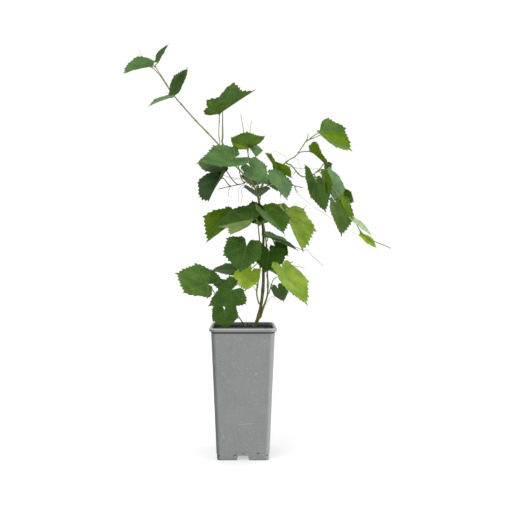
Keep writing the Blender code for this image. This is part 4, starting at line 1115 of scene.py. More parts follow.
def pot_material(name, pot, stain):
    """Moulded grey plastic: mottled, dusty and scuffed, with painted shade and highlights on its
    corners and lip, caught dirt, a darker foot, and as much painted shade as asked for inside.
    """
    material, tree, shader = new_material(name, pot.roughness)
    space, speckle = speckled(tree, *POT_SPECKLE)
    place = split_vector(tree, space)
    grey, dust_and_highlight = opaque(pot.grey), opaque(pot.dust_and_highlight)
    shade = tinted(tree, grey, POT_SHADE)
    body = blend_colours(tree, ramp(tree, speckle["Blotch"], *POT_BLOTCHES), shade, grey)
    drag = cloud(tree, vector_maths(tree, "MULTIPLY", space, DRAG_SHAPE), DRAG_SCALE, 3.0)
    body = lay(tree, body, ramp(tree, drag, *POT_DRAG), DRAG_AMOUNT, dust_and_highlight)
    body = lay(tree, body, ramp(tree, speckle["Grain"], *POT_DUST), DUST_AMOUNT, dust_and_highlight)
    body = lay_marks(tree, body, space, SCUFFS, SCUFF_AMOUNT, dust_and_highlight)
    body = paint_corner_light(tree, body, pot, place, dust_and_highlight)
    body = paint_rims(tree, body, pot, space, place[2], dust_and_highlight)
    # Painted shade on the faces inside the pot.
    body = blend_colours(tree, stain, body, tinted(tree, body, INSIDE_SHADE_TINT))
    tree.links.new(body, shader.inputs["Base Color"])
    smoothest = pot.roughness - POT_SMOOTHEST
    rough = maths(tree, "MULTIPLY_ADD", speckle["Blotch"], POT_UNEVEN, smoothest)
    tree.links.new(rough, shader.inputs["Roughness"])
    add_bump(tree, shader, speckle["Grain"], *POT_BUMP)
    return material


def soil_material(soil):
    """Moist soil with paler fibres."""
    material, tree, shader = new_material("potting_soil", SOIL_ROUGHNESS)
    _, speckle = speckled(tree, *SOIL_SPECKLE)
    brown = opaque(soil.brown)
    damp = tinted(tree, brown, SOIL_SHADE)
    body = blend_colours(tree, ramp(tree, speckle["Blotch"], *SOIL_BLOTCHES), damp, brown)
    fibres = ramp(tree, speckle["Grain"], *SOIL_FIBRES)
    body = blend_colours(tree, fibres, body, opaque(soil.fibre))
    tree.links.new(body, shader.inputs["Base Color"])
    add_bump(tree, shader, speckle["Grain"], *SOIL_BUMP)
    return material


def floor_material(stage):
    """A plain pale floor with hardly any mottling."""
    material, tree, shader = new_material("pale_floor", FLOOR_ROUGHNESS)
    _, speckle = speckled(tree, *FLOOR_SPECKLE)
    pale = opaque(stage.floor)
    softer = tinted(tree, pale, FLOOR_SHADE)
    body = blend_colours(tree, speckle["Blotch"], pale, softer)
    tree.links.new(body, shader.inputs["Base Color"])
    shader.inputs["Specular IOR Level"].default_value = FLOOR_GLOSS
    shader.inputs["Emission Color"].default_value = (1, 1, 1, 1)
    shader.inputs["Emission Strength"].default_value = stage.glow
    return material


# Geometry trees

BARK_FURROWS, CANE_FURROWS = (2.4, 70.0), (1.6, 90.0)
PLAIN_FURROWS = (1.5, 60.0)
SKIN_RADIUS = 0.004  # a stem's place attribute goes round at this distance, whatever its size
FURROW_LEVEL = 0.6  # noise below this cuts into the bark
CRUMB_SMALLEST, CRUMB_LARGEST = (0.15, 0.15, 0.12), (1.0, 0.7, 0.6)
CRUMB_LEVEL = 0.5  # crumbs lie where the surface looks up at least this far


def field(tree, kind, output=0):
    """What an input node gives."""
    return tree.nodes.new(kind).outputs[output]


def stored(tree, geometry, name, value, kind="FLOAT_VECTOR"):
    """The geometry with a value kept on its points under a name."""
    values = {"Geometry": geometry, "Name": name, "Value": value}
    return add_node(
        tree, "GeometryNodeStoreNamedAttribute", values, data_type=kind, domain="POINT"
    ).outputs[0]


def named(tree, name, kind="FLOAT_VECTOR"):
    """What the points keep under a name."""
    values = {"Name": name}
    return add_node(tree, "GeometryNodeInputNamedAttribute", values, data_type=kind).outputs[0]


def random_vector(tree, low, high, seed):
    """A vector drawn for each point between two corners."""
    values = {0: low, 1: high, "Seed": seed}
    return add_node(tree, "FunctionNodeRandomValue", values, data_type="FLOAT_VECTOR").outputs[0]


def finish_tree(tree, geometry, given, made):
    """Ends a tree: its instances are made real and its material is set."""
    real = add_node(tree, "GeometryNodeRealizeInstances", {0: geometry}).outputs[0]
    values = {"Geometry": real, "Material": given["Material"]}
    hand_out(tree, made, {0: add_node(tree, "GeometryNodeSetMaterial", values).outputs[0]})


def make_tube_tree():
    """A tube along each path of a curve object, furrowed along its length."""
    tree, given, made = group_tree(
        "Grown tube", "GeometryNodeTree",
        (
            ("Geometry", SHAPE, None), ("Sides", WHOLE, 12), ("Relief", FLOAT, 0.0),
            ("Furrows", FLOAT, 6.0), ("Stretch", FLOAT, 60.0), ("Material", MATERIAL, None),
        ),
        (("Geometry", SHAPE),),
    )
    given = given.outputs
    far = field(tree, "GeometryNodeSplineParameter", "Length")
    path = stored(tree, given["Geometry"], "along", far, "FLOAT")
    values = {"Resolution": given["Sides"], "Radius": 1.0}
    ring = add_node(tree, "GeometryNodeCurvePrimitiveCircle", values).outputs[0]
    ring = stored(tree, ring, "round", field(tree, "GeometryNodeInputPosition"))
    values = {
        "Curve": path, "Profile Curve": ring, "Scale": field(tree, "GeometryNodeInputRadius"),
        "Fill Caps": True,
    }
    tube = add_node(tree, "GeometryNodeCurveToMesh", values).outputs[0]
    along, around = named(tree, "along", "FLOAT"), named(tree, "round")
    drift = times(tree, along, given["Stretch"])
    shift = add_node(tree, "ShaderNodeCombineXYZ", {2: drift}).outputs[0]
    spread = vector_maths(tree, "SCALE", around, given["Furrows"])
    rough = cloud(tree, vector_maths(tree, "ADD", spread, shift), 1.0, 3.0)
    rough = maths(tree, "SUBTRACT", rough, FURROW_LEVEL)
    depth = times(tree, rough, given["Relief"])
    push = vector_maths(tree, "SCALE", field(tree, "GeometryNodeInputNormal"), depth)
    values = {"Geometry": tube, "Offset": push}
    tube = add_node(tree, "GeometryNodeSetPosition", values).outputs[0]
    skin = vector_maths(tree, "SCALE", around, SKIN_RADIUS)
    lift = add_node(tree, "ShaderNodeCombineXYZ", {2: along}).outputs[0]
    tube = stored(tree, tube, "stem_place", vector_maths(tree, "ADD", skin, lift))
    tube = add_node(tree, "GeometryNodeSetShadeSmooth", {"Geometry": tube}).outputs[0]
    finish_tree(tree, tube, given, made)


def make_crumb_tree():
    """Crumbs of soil strewn over the faces that look up."""
    tree, given, made = group_tree(
        "Crumbs", "GeometryNodeTree",
        (
            ("Geometry", SHAPE, None), ("Density", FLOAT, 60000.0), ("Size", FLOAT, 0.003),
            ("Seed", WHOLE, SEED), ("Material", MATERIAL, None),
        ),
        (("Geometry", SHAPE),),
    )
    given = given.outputs
    up = split_vector(tree, field(tree, "GeometryNodeInputNormal"))[2]
    values = {
        "Mesh": given["Geometry"], "Selection": maths(tree, "GREATER_THAN", up, CRUMB_LEVEL),
        "Density": given["Density"], "Seed": given["Seed"],
    }
    strewn = add_node(tree, "GeometryNodeDistributePointsOnFaces", values).outputs[0]
    values = {"Radius": 0.5, "Subdivisions": 1}
    lump = add_node(tree, "GeometryNodeMeshIcoSphere", values).outputs[0]
    size = random_vector(tree, CRUMB_SMALLEST, CRUMB_LARGEST, given["Seed"])
    values = {
        "Points": strewn, "Instance": lump,
        "Rotation": random_vector(tree, (0, 0, 0), (math.tau, math.tau, math.tau), given["Seed"]),
        "Scale": vector_maths(tree, "SCALE", size, given["Size"]),
    }
    heaped = add_node(tree, "GeometryNodeInstanceOnPoints", values).outputs[0]
    both = tree.nodes.new("GeometryNodeJoinGeometry")
    for geometry in (heaped, given["Geometry"]):
        tree.links.new(geometry, both.inputs[0])
    finish_tree(tree, both.outputs[0], given, made)


def grow_through(obj, tree_name, values):
    """Runs a geometry tree on an object with these inputs and keeps the result as a plain mesh."""
    modifier = obj.modifiers.new("Grow", "NODES")
    modifier.node_group = bpy.data.node_groups[tree_name]
    keys = {
        item.name: item.identifier
        for item in modifier.node_group.interface.items_tree
        if item.in_out == "INPUT"
    }
    for title, value in values.items():
        modifier[keys[title]] = value
    return plain_mesh(obj)


# Making meshes


def put_in_scene(name, data):
    """A new object in the scene."""
    obj = bpy.data.objects.new(name, data)
    bpy.context.scene.collection.objects.link(obj)
    return obj


def plain_mesh(obj):
    """The object with its modifiers turned into a plain mesh of its own, at the origin."""
    graph = bpy.context.evaluated_depsgraph_get()
    mesh = bpy.data.meshes.new_from_object(obj.evaluated_get(graph))
    mesh.transform(obj.matrix_world)
    name = obj.name
    bpy.data.objects.remove(obj)
    return put_in_scene(name, mesh)


def paths_object(name, places):
    """A curve object with one straight-run spline for each path, its radii on its points."""
    curve = bpy.data.curves.new(name, "CURVE")
    curve.dimensions = "3D"
    for place in places:
        spline = curve.splines.new("POLY")
        spline.points.add(len(place.path) - 1)
        spline.points.foreach_set("co", [x for spot in place.path for x in (*spot, 1)])
        spline.points.foreach_set("radius", list(place.radii))
    return put_in_scene(name, curve)


def tubes(name, places, count, material, relief=0.0, furrows=PLAIN_FURROWS):
    """A piece of tubes along paths. Furrows are how many go round and how fast they drift."""
    values = {
        "Sides": count, "Relief": relief, "Furrows": furrows[0], "Stretch": furrows[1],
        "Material": material,
    }
    return grow_through(paths_object(name, places), "Grown tube", values)


def finish_piece(piece, nodes):
    """Sets a piece on the model's body, in place of the solids that it stands for."""
    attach(piece, "root")
    if nodes:
        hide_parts(*nodes)


def mesh_object(name, work):
    """An object made from a bmesh, which is freed."""
    mesh = bpy.data.meshes.new(name)
    bmesh.ops.recalc_face_normals(work, faces=work.faces)
    work.to_mesh(mesh)
    work.free()
    return put_in_scene(name, mesh)


# The pot

LIP_ROUND = 0.0015
SKIRT_INSET = 0.001
SKIRT_WALL = 0.004
RECESS_HEIGHT = 0.0115
NOTCH_HEIGHT = 0.0105
NOTCH_FOOT_WIDTH = 0.033
NOTCH_TOP_WIDTH = 0.023
DRAIN_RADIUS = 0.006
DRAIN_OFFSET = 0.030
DRAIN_SIDES = 32
INNER_CORNER = 0.8  # a corner's radius shrinks by this share of the distance that it is taken in
CORNER_STEPS = 10
EDGE_ROUND = 0.0005
EDGE_SEGMENTS = 2
EDGE_ANGLE = math.radians(30)  # sharper edges than this are rounded
SMOOTH_ANGLE = math.radians(50)  # and flatter ones are shaded smooth
FACING_IN = 0.5


def square_ring(work, side, corner, height):
    """A level square loop of edges with round corners."""
    middle = side / 2 - corner
    verts = []
    for quarter in range(4):
        for step in range(CORNER_STEPS + 1):
            turn = math.radians(90) * (quarter + step / CORNER_STEPS)
            x = middle * (1 if quarter in (0, 3) else -1) + corner * math.cos(turn)
            y = middle * (1 if quarter in (0, 1) else -1) + corner * math.sin(turn)
            verts.append(work.verts.new((x, y, height)))
    return [work.edges.new(pair) for pair in zip(verts, verts[1:] + verts[:1])]


def loft(name, sections):
    """A solid through level rounded squares, each given as its side, corner and height."""
    work = bmesh.new()
    rings = [square_ring(work, *section) for section in sections]
    for lower, upper in zip(rings, rings[1:]):
        bmesh.ops.bridge_loops(work, edges=lower + upper)
    bmesh.ops.holes_fill(work, edges=rings[0] + rings[-1])
    return mesh_object(name, work)


def wall_section(pot, height, inside=0.0):
    """The pot's side and corner at a height, taken in from its outer face by a distance."""
    part = height / pot.height
    side = pot.foot_side + (pot.top_side - pot.foot_side) * part
    corner = pot.foot_corner + (pot.top_corner - pot.foot_corner) * part
    return side - 2 * inside, corner - inside * INNER_CORNER, height


def skirt_section(pot, height):
    """The skirt's side and corner at a height, set in a little from the line of the wall."""
    side, corner, height = wall_section(pot, height)
    return side - 2 * SKIRT_INSET, corner - SKIRT_INSET, height


def pot_cutters(pot):
    """What is taken out of the pot's block: its inside, its recess, notches and drain holes."""
    floor_top = RECESS_HEIGHT + pot.wall
    rim_side, rim_corner, _ = wall_section(pot, pot.height, pot.wall - LIP_ROUND)
    cutters = [
        loft("inside", (
            wall_section(pot, floor_top, pot.wall),
            wall_section(pot, pot.height - LIP_ROUND, pot.wall),
            (rim_side, rim_corner, pot.height),
            (rim_side, rim_corner, pot.height + pot.lip_height),
        )),
        loft("recess", (
            wall_section(pot, -pot.lip_height, SKIRT_WALL),
            wall_section(pot, RECESS_HEIGHT, SKIRT_WALL),
        )),
    ]
    for turned in (False, True):
        work = bmesh.new()
        bmesh.ops.create_cube(work, size=1)
        for vert in work.verts:
            top = vert.co.z > 0
            vert.co.x *= NOTCH_TOP_WIDTH if top else NOTCH_FOOT_WIDTH
            vert.co.y *= pot.lip_side
            vert.co.z = NOTCH_HEIGHT if top else -pot.lip_height
        if turned:
            work.transform(Matrix.Rotation(math.radians(90), 4, "Z"))
        cutters.append(mesh_object("notch", work))
    for x in (-DRAIN_OFFSET, DRAIN_OFFSET):
        for y in (-DRAIN_OFFSET, DRAIN_OFFSET):
            work = bmesh.new()
            bmesh.ops.create_cone(
                work, segments=DRAIN_SIDES, radius1=DRAIN_RADIUS, radius2=DRAIN_RADIUS,
                depth=pot.lip_side / 2, cap_ends=True,
            )
            work.transform(Matrix.Translation((x, y, 0)))
            cutters.append(mesh_object("drain", work))
    return cutters


def build_pot(pot):
    """The moulded pot with its edges rounded."""
    lip_foot = pot.height - pot.lip_height
    lip_corner = pot.top_corner + (pot.lip_side - pot.top_side) / 2
    body = loft("pot_moulding", (
        skirt_section(pot, 0),
        skirt_section(pot, pot.skirt_height - SKIRT_INSET),
        wall_section(pot, pot.skirt_height),
        wall_section(pot, lip_foot),
        (pot.lip_side - LIP_ROUND, lip_corner, lip_foot),
        (pot.lip_side, lip_corner, lip_foot + LIP_ROUND),
        (pot.lip_side, lip_corner, pot.height - LIP_ROUND),
        (pot.lip_side - 2 * LIP_ROUND, lip_corner - LIP_ROUND, pot.height),
    ))
    helpers = bpy.data.collections.new("Pot cutters")
    for cutter in pot_cutters(pot):
        bpy.context.scene.collection.objects.unlink(cutter)
        helpers.objects.link(cutter)
    cut = body.modifiers.new("Cut", "BOOLEAN")
    cut.operation = "DIFFERENCE"
    cut.operand_type = "COLLECTION"
    cut.collection = helpers
    cut.solver = "EXACT"
    edges = body.modifiers.new("Edges", "BEVEL")
    edges.width = EDGE_ROUND
    edges.segments = EDGE_SEGMENTS
    edges.limit_method = "ANGLE"
    edges.angle_limit = EDGE_ANGLE
    made = plain_mesh(body)
    for cutter in list(helpers.objects):
        bpy.data.objects.remove(cutter)
    bpy.data.collections.remove(helpers)
    made.data.shade_smooth()
    made.data.set_sharp_from_angle(angle=SMOOTH_ANGLE)
    return made


# The soil

SOIL_CELLS = 70
SOIL_LUMPS = 90  # the fineness of its rise and fall
LUMP_FRACTAL = (1.0, 2.0, 4)
SOIL_DIP, SOIL_RISE = 0.9, 0.8  # how far it lies below the top and how far it moves, in swells
SOIL_EDGE = 0.004  # it lies level this close to the wall


def shade_inside(piece):
    """Gives the faces that look into the pot the second material, with its painted shade."""
    for face in piece.data.polygons:
        x, y, _ = face.center
        if -(face.normal.x * x + face.normal.y * y) > FACING_IN * math.hypot(x, y):
            face.material_index = 1


def into_corner(x, y, side, corner):
    """A place kept inside a square with round corners."""
    middle = side / 2 - corner
    over = Vector((max(abs(x) - middle, 0), max(abs(y) - middle, 0)))
    if over.length > corner:
        over = over.normalized() * corner
        x = math.copysign(min(abs(x), middle) + over.x, x)
        y = math.copysign(min(abs(y), middle) + over.y, y)
    return x, y


def build_soil(soil, pot):
    """The block of soil: an uneven top and straight sides."""
    inside = pot.wall + GAP
    foot = RECESS_HEIGHT + pot.wall + GAP
    side, corner, _ = wall_section(pot, soil.top, inside)
    low_side, _, _ = wall_section(pot, foot, inside)
    work = bmesh.new()
    bmesh.ops.create_grid(work, x_segments=SOIL_CELLS, y_segments=SOIL_CELLS, size=side / 2)
    for vert in work.verts:
        x, y = into_corner(vert.co.x, vert.co.y, side, corner)
        lump = noise.fractal(Vector((x, y, 0)) * SOIL_LUMPS, *LUMP_FRACTAL)
        edge = min(1.0, (side / 2 - max(abs(x), abs(y))) / SOIL_EDGE)
        vert.co = (x, y, soil.top - soil.swell * SOIL_DIP + soil.swell * SOIL_RISE * lump * edge)
    rim = [edge for edge in work.edges if edge.is_boundary]
    walls = bmesh.ops.extrude_edge_only(work, edges=rim)["geom"]
    lower = [item for item in walls if isinstance(item, bmesh.types.BMVert)]
    for vert in lower:
        vert.co.x *= low_side / side
        vert.co.y *= low_side / side
        vert.co.z = foot
    bmesh.ops.holes_fill(work, edges=[edge for edge in work.edges if edge.is_boundary])
    return mesh_object("soil_block", work)


# Leaf blades


def outline(angle, lobes):
    """The blade's reach at an angle from its midrib, as a share of the midrib."""
    reaches = (1, *lobes[:3])
    depth = (*lobes, SINUS_DEPTH)[3]
    narrow = SINUS_SHAPE + SINUS_NARROWS * max(0, depth - SINUS_DEPTH)
    for i, (start, end) in enumerate(zip(LOBE_ANGLES, LOBE_ANGLES[1:])):
        if angle <= end:
            part = (angle - start) / (end - start)
            ease = part * part * (3 - 2 * part)
            sinus = depth * math.sin(math.pi * part) ** narrow
            return reaches[i] + (reaches[i + 1] - reaches[i]) * ease - sinus * reaches[i]
    part = (angle - LOBE_ANGLES[-1]) / (BASE_ANGLE - LOBE_ANGLES[-1])
    return reaches[-1] * (1 + (BASE_REACH - 1) * part)


def half_rays(lobes, tooth_depth, chance):
    """The rays of half a blade: each one's angle, reach without teeth, and tooth."""
    bounds = (*LOBE_ANGLES, BASE_ANGLE)
    rays = []
    for sector, teeth in enumerate(TEETH):
        for tooth in range(teeth):
            size = tooth_depth * chance.uniform(*TOOTH_SPREAD) * TOOTH_SIZES[tooth % 2]
            following = tooth_depth * TOOTH_SIZES[(tooth + 1) % 2]
            if tooth == 0:
                size = tooth_depth * (END_TOOTH if sector == 0 else LOBE_TOOTH)
            for step in range(TOOTH_RAYS):
                part = step / TOOTH_RAYS
                span = bounds[sector + 1] - bounds[sector]
                angle = bounds[sector] + span * (tooth + part) / teeth
                near = size if part <= 0.5 else following
                rays.append((angle, near * abs(1 - 2 * part) ** TOOTH_SHAPE))
    rays.append((BASE_ANGLE, 0.0))
    return [(angle, outline(angle, lobes), tooth) for angle, tooth in rays]


def blade_rays(leaf, tooth_depth, chance):
    """All the rays of a blade as arrays: signed angle, reach and tooth."""
    right = half_rays(leaf.right, tooth_depth, chance)
    left = half_rays(leaf.left, tooth_depth, chance)
    left = [(-angle, reach, tooth) for angle, reach, tooth in reversed(left[1:])]
    angles, reach, tooth = np.array(left + right).T
    return np.radians(angles), reach, tooth


def blade_frame(leaf):
    """The blade's midrib, side and face directions where its stalk meets it, and its length."""
    chord = Vector(leaf.tip) - Vector(leaf.root)
    side = chord.cross(Vector(leaf.face)).normalized()
    face = side.cross(chord).normalized()
    slope = math.atan(leaf.droop)
    midrib = chord.normalized() * math.cos(slope) + face * math.sin(slope)
    face = side.cross(midrib).normalized()
    return midrib, side, face, chord.length * math.cos(slope)


def vein_places(turn, reach):
    """Where points lie among the veins: the side veins passed, and the way to a main vein."""
    veins = np.radians(LOBE_ANGLES)
    off = np.abs(np.abs(turn)[..., None] - veins).min(axis=-1)
    away = reach * np.sin(off)
    count = (reach * np.cos(off) - away / math.tan(SIDE_VEIN_LEAN)) / SIDE_VEIN_SPACING
    return count, away


def blade_rise(leaf, phase, part, turn, along, across):
    """How far points stand off the blade's plane: its fold, droop, waves and ruffled edge."""
    rise = (np.hypot(across, FOLD_EASE) - FOLD_EASE) * math.sin(math.radians(leaf.fold))
    rise -= leaf.droop * along * np.abs(along)
    rise += BASE_LIFT * np.maximum(-along, 0)
    rise += WAVE * part**2 * np.sin(WAVES * turn + phase) * (1 - np.cos(turn)) / 2
    rise += RUFFLE * part**3 * np.sin(RUFFLES * turn + 2 * phase) * np.minimum(1, np.abs(turn))
    return rise


def dryness(marks, along, over):
    """How far each point has dried, from the blade's marks."""
    dried = np.zeros(along.size)
    for at, far, radius in marks:
        spot = far * math.cos(math.radians(at)), far * math.sin(math.radians(at))
        away = np.hypot(along - spot[0], over - spot[1]).reshape(-1)
        dried = np.maximum(dried, np.clip((radius - away) / (MARK_EDGE * radius), 0, 1))
    return dried


def blade_arrays(leaf, phase, tooth_depth, chance):
    """Points of a blade's two sheets, with the vein place, side and dryness of each."""
    angle, edge, tooth = blade_rays(leaf, tooth_depth, chance)
    rings = (np.arange(1, BLADE_RINGS + 1) / BLADE_RINGS) ** RING_EASE
    part = rings[:, None] * np.ones_like(angle)[None, :]
    turn = np.ones_like(rings)[:, None] * angle[None, :]
    reach = edge * part + (tooth - tooth_depth / 2) * edge * part**TOOTH_RISE
    along, over = reach * np.cos(turn), reach * np.sin(turn)
    across = over * leaf.width
    count, vein_off = vein_places(turn, reach)
    sunk = np.exp(-((vein_off / VEIN_WIDTH) ** 2)) * (1 - VEIN_SHALLOWS * part)
    quilt = np.abs(np.sin(np.pi * count)) * np.minimum(1, vein_off / QUILT_START)
    quilt *= 1 - part**QUILT_FADE
    rise = blade_rise(leaf, phase, part, turn, along, across) + (QUILT * quilt - VEIN_SINK * sunk)
    root = np.array(leaf.root)
    midrib, side, face, size = (np.array(item) for item in blade_frame(leaf))
    offset = (
        along[..., None] * midrib
        + (across * math.cos(math.radians(leaf.fold)))[..., None] * side
        + rise[..., None] * face
    )
    # Every array starts with the point where the stalk meets the blade.
    sheet = np.vstack([root, root + offset.reshape(-1, 3) * size])
    rib = np.append(1.0, sunk)
    half = BLADE_THICKNESS / 2
    upper = sheet + face * half
    lower = sheet - face * (half + BLADE_THICKNESS * RIB_DEPTH * rib)[:, None]
    place = np.vstack([np.zeros(3), np.stack([count, vein_off, part], axis=-1).reshape(-1, 3)])
    beyond = (np.degrees(turn) - leaf.split) / TONE_BLEND
    sides = np.append(0.0, np.clip(beyond, -1, 1))
    return upper, lower, place, sides, np.append(0.0, dryness(leaf.marks, along, over))


def blade_faces(rays):
    """Faces of one blade: upper fan and rings, the same underneath, and the rim between them."""
    points = 1 + BLADE_RINGS * rays
    upper = []
    for j in range(rays - 1):
        upper.append((0, 1 + j, 2 + j))
        for ring in range(BLADE_RINGS - 1):
            a = 1 + ring * rays + j
            upper.append((a, a + rays, a + rays + 1, a + 1))
    lower = [tuple(i + points for i in reversed(face)) for face in upper]
    last = 1 + (BLADE_RINGS - 1) * rays
    start_edge = [0] + [1 + ring * rays for ring in range(BLADE_RINGS)]
    end_edge = [ring * rays for ring in range(BLADE_RINGS, 0, -1)] + [0]
    border = start_edge + list(range(last + 1, last + rays)) + end_edge[1:]
    rim = [(a, a + points, b + points, b) for a, b in zip(border, border[1:])]
    return upper, lower, rim, points


def tone_of(settings, words, sides, dried):
    """A base colour for each point: one tone, or one for each half of the blade. The tones carry
    painted sheen, shade and light shining through.
    """
    names = words.split("|")
    right = np.array(opaque(getattr(settings, names[0])))
    left = np.array(opaque(getattr(settings, names[-1])))
    part = (sides[:, None] + 1) / 2
    fresh = left * (1 - part) + right * part
    scorch = np.array(opaque(settings.scorch))
    return fresh * (1 - dried[:, None]) + scorch * dried[:, None]


def build_blades(name, leaves, settings, materials):
    """One piece of many blades, each point with its tone and its place among the veins."""
    chance = random.Random(name)
    points, faces, under, tones, places = [], [], [], [], []
    start = 0
    for leaf, phase in leaves:
        upper, lower, place, sides, dried = blade_arrays(leaf, phase, settings.tooth, chance)
        rays = (len(upper) - 1) // BLADE_RINGS
        top, bottom, rim, count = blade_faces(rays)
        points += [upper, lower]
        faces += [tuple(i + start for i in face) for face in top + rim + bottom]
        under += [0] * (len(top) + len(rim)) + [1] * len(bottom)
        tones += [tone_of(settings, words, sides, dried) for words in (leaf.tone, leaf.under)]
        places += [place, place]
        start += 2 * count
    mesh = bpy.data.meshes.new(name)
    mesh.from_pydata(np.vstack(points).tolist(), [], faces)
    mesh.polygons.foreach_set("material_index", under)
    tone = mesh.attributes.new("leaf_tone", "FLOAT_COLOR", "POINT")
    tone.data.foreach_set("color", np.vstack(tones).ravel())
    spot = mesh.attributes.new("leaf_place", "FLOAT_VECTOR", "POINT")
    spot.data.foreach_set("vector", np.vstack(places).ravel())
    for material in materials:
        mesh.materials.append(material)
    mesh.shade_smooth()
    return put_in_scene(name, mesh)


# Shoots, stalks and tendrils


def stalk_path(leaf, shoot):
    """The leaf stalk: out of the shoot, round to the back of the blade and into its midrib."""
    start, along = place_on(shoot, leaf.at)
    midrib, _, face, _ = blade_frame(leaf)
    behind = Vector(leaf.root) - face * STALK_BEHIND
    way = behind - start
    reach = way.length / 3
    leaving = (way.normalized() + along * STALK_LEAVES).normalized()
    arriving = (way.normalized() + midrib * STALK_ARRIVES).normalized()
    handles = start + leaving * reach, behind - arriving * reach
    path = interpolate_bezier(start, *handles, behind, STALK_STEPS + 1)
    return path + [Vector(leaf.root) + midrib * far - face * deep for far, deep in STALK_ENDS]


def stalk_radii(path):
    """The radii of a stalk, swollen where it leaves the shoot and again under the blade."""
    total = lengths_along(path)
    foot, foot_reach = STALK_FOOT_SWELL
    head, head_reach = STALK_HEAD_SWELL
    under_blade = total[-1] - STALK_ENDS[-1][0]
    return [
        STALK_RADIUS
        * (1 + (STALK_FOOT - 1) * (1 - far / total[-1]) + foot * swelling(far, 0, foot_reach))
        * (1 + head * swelling(far, under_blade, head_reach))
        * (STALK_POINT if far == total[-1] else 1)
        for far in total
    ]


def tendril_path(shoot, leaf, chance):
    """A tendril from the shoot opposite a leaf, curling more and more towards its end."""
    start, along = place_on(shoot, leaf.at)
    away = start - Vector(leaf.root)
    heading = (away - away.project(along)).normalized() + along * TENDRIL_LIFT
    heading.normalize()
    axis = heading.cross(Vector([chance.uniform(-1, 1) for _ in range(3)])).normalized()
    step = chance.uniform(*TENDRIL_LENGTHS) / TENDRIL_STEPS
    path = [start]
    for i in range(TENDRIL_STEPS):
        turn = 2 * TENDRIL_CURL * i / TENDRIL_STEPS**2
        heading = Matrix.Rotation(turn, 3, axis) @ heading
        path.append(path[-1] + heading * step)
    return path


def space_of(mass, shoot):
    """The low and high corners of the space that a mass keeps to."""
    places = list(shoot)
    for leaf in mass.leaves:
        places += [Vector(leaf.root), Vector(leaf.tip)]
    margin = Vector((SPACE_MARGIN, SPACE_MARGIN, SPACE_MARGIN))
    low = Vector([min(place[i] for place in places) for i in range(3)]) - margin
    high = Vector([max(place[i] for place in places) for i in range(3)]) + margin
    return low, high


def fits(path, space, limbs):
    """Whether a path stays inside a space and clear of every limb."""
    low, high = space
    inside = all(low[i] <= place[i] <= high[i] for place in path for i in range(3))
    clear = all(
        (place - spot).length > LIMB_CLEARANCE
        for place in path[2:]
        for limb in limbs.values()
        for spot in limb.path
    )
    return inside and clear


def grow_masses(limbs):
    """The shoots, stalks, tendrils and twigs of every mass of foliage."""
    chance = random.Random(SEED)
    shoots, stalks, tendrils = [], [], []
    for mass in MASSES:
        shoot = grown_path(mass, limbs, mass.shoot)
        plain = Place(shoot, taper(shoot, mass.radius, mass.radius * SHOOT_TAPER))
        shoots.append(knuckles(plain, SHOOT_JOINTS, random.Random(mass.name)))
        space = space_of(mass, shoot)
        for leaf in mass.leaves:
            stalk = stalk_path(leaf, shoot)
            stalks.append(Place(stalk, stalk_radii(stalk)))
            if chance.random() < TENDRIL_CHANCE:
                tendril = tendril_path(shoot, leaf, chance)
                if fits(tendril, space, limbs):
                    tendrils.append(thin_place(smooth_path(tendril), TENDRIL_RADIUS))
        for twig in mass.twigs:
            start, _ = place_on(shoot, twig.at)
            tendrils.append(thin_place(smooth_path([start, *twig.path]), twig.radius))
    return shoots, stalks, tendrils


def grow_sprigs(limbs, shoots):
    """The side twigs and threads, gathered by kind."""
    lines = {name: place.path for name, place in limbs.items()}
    lines.update({mass.name: place.path for mass, place in zip(MASSES, shoots)})
    kinds = {}
    for row in SPRIGS:
        start, _ = place_on(lines[row.parent], row.at)
        path = smooth_path([start, *row.path])
        kinds.setdefault(row.kind, []).append(thin_place(path, row.radius))
    return kinds


def thin_place(path, radius):
    """A thin twig or tendril, thinner towards its end."""
    return Place(path, taper(path, radius, radius * TWIG_TAPER))


# Operators


class GRAPEVINE_OT_stage(Operator):
    """Set up the floor, the backdrop, the lights and the camera"""

    bl_idname = "grapevine.stage"
    bl_label = "Stage"

    def execute(self, context):
        """Builds the stage."""
        stage = context.scene.grapevine_stage
        make_floor(stage)
        make_lights(stage)
        make_camera(stage)
        return {"FINISHED"}


class GRAPEVINE_OT_pot(Operator):
    """Build the moulded pot"""

    bl_idname = "grapevine.pot"
    bl_label = "Pot"

    def execute(self, context):
        """Builds the pot in place of its plain solid."""
        pot = context.scene.grapevine_pot
        piece = build_pot(pot)
        piece.data.materials.append(pot_material("moulded_plastic", pot, 0.0))
        # The second material holds painted shade for the inside.
        piece.data.materials.append(pot_material("stained_plastic", pot, pot.stain))
        shade_inside(piece)
        finish_piece(piece, ["pot"])
        return {"FINISHED"}


class GRAPEVINE_OT_soil(Operator):
    """Build the potting soil with its crumbs"""

    bl_idname = "grapevine.soil"
    bl_label = "Soil"

    def execute(self, context):
        """Builds the soil in place of its plain solid."""
        soil = context.scene.grapevine_soil
        block = build_soil(soil, context.scene.grapevine_pot)
        values = {
            "Density": soil.crumbs, "Size": soil.crumb, "Seed": SEED,
            "Material": soil_material(soil),
        }
        piece = grow_through(block, "Crumbs", values)
        piece.data.shade_smooth()
        finish_piece(piece, ["soil"])
        return {"FINISHED"}


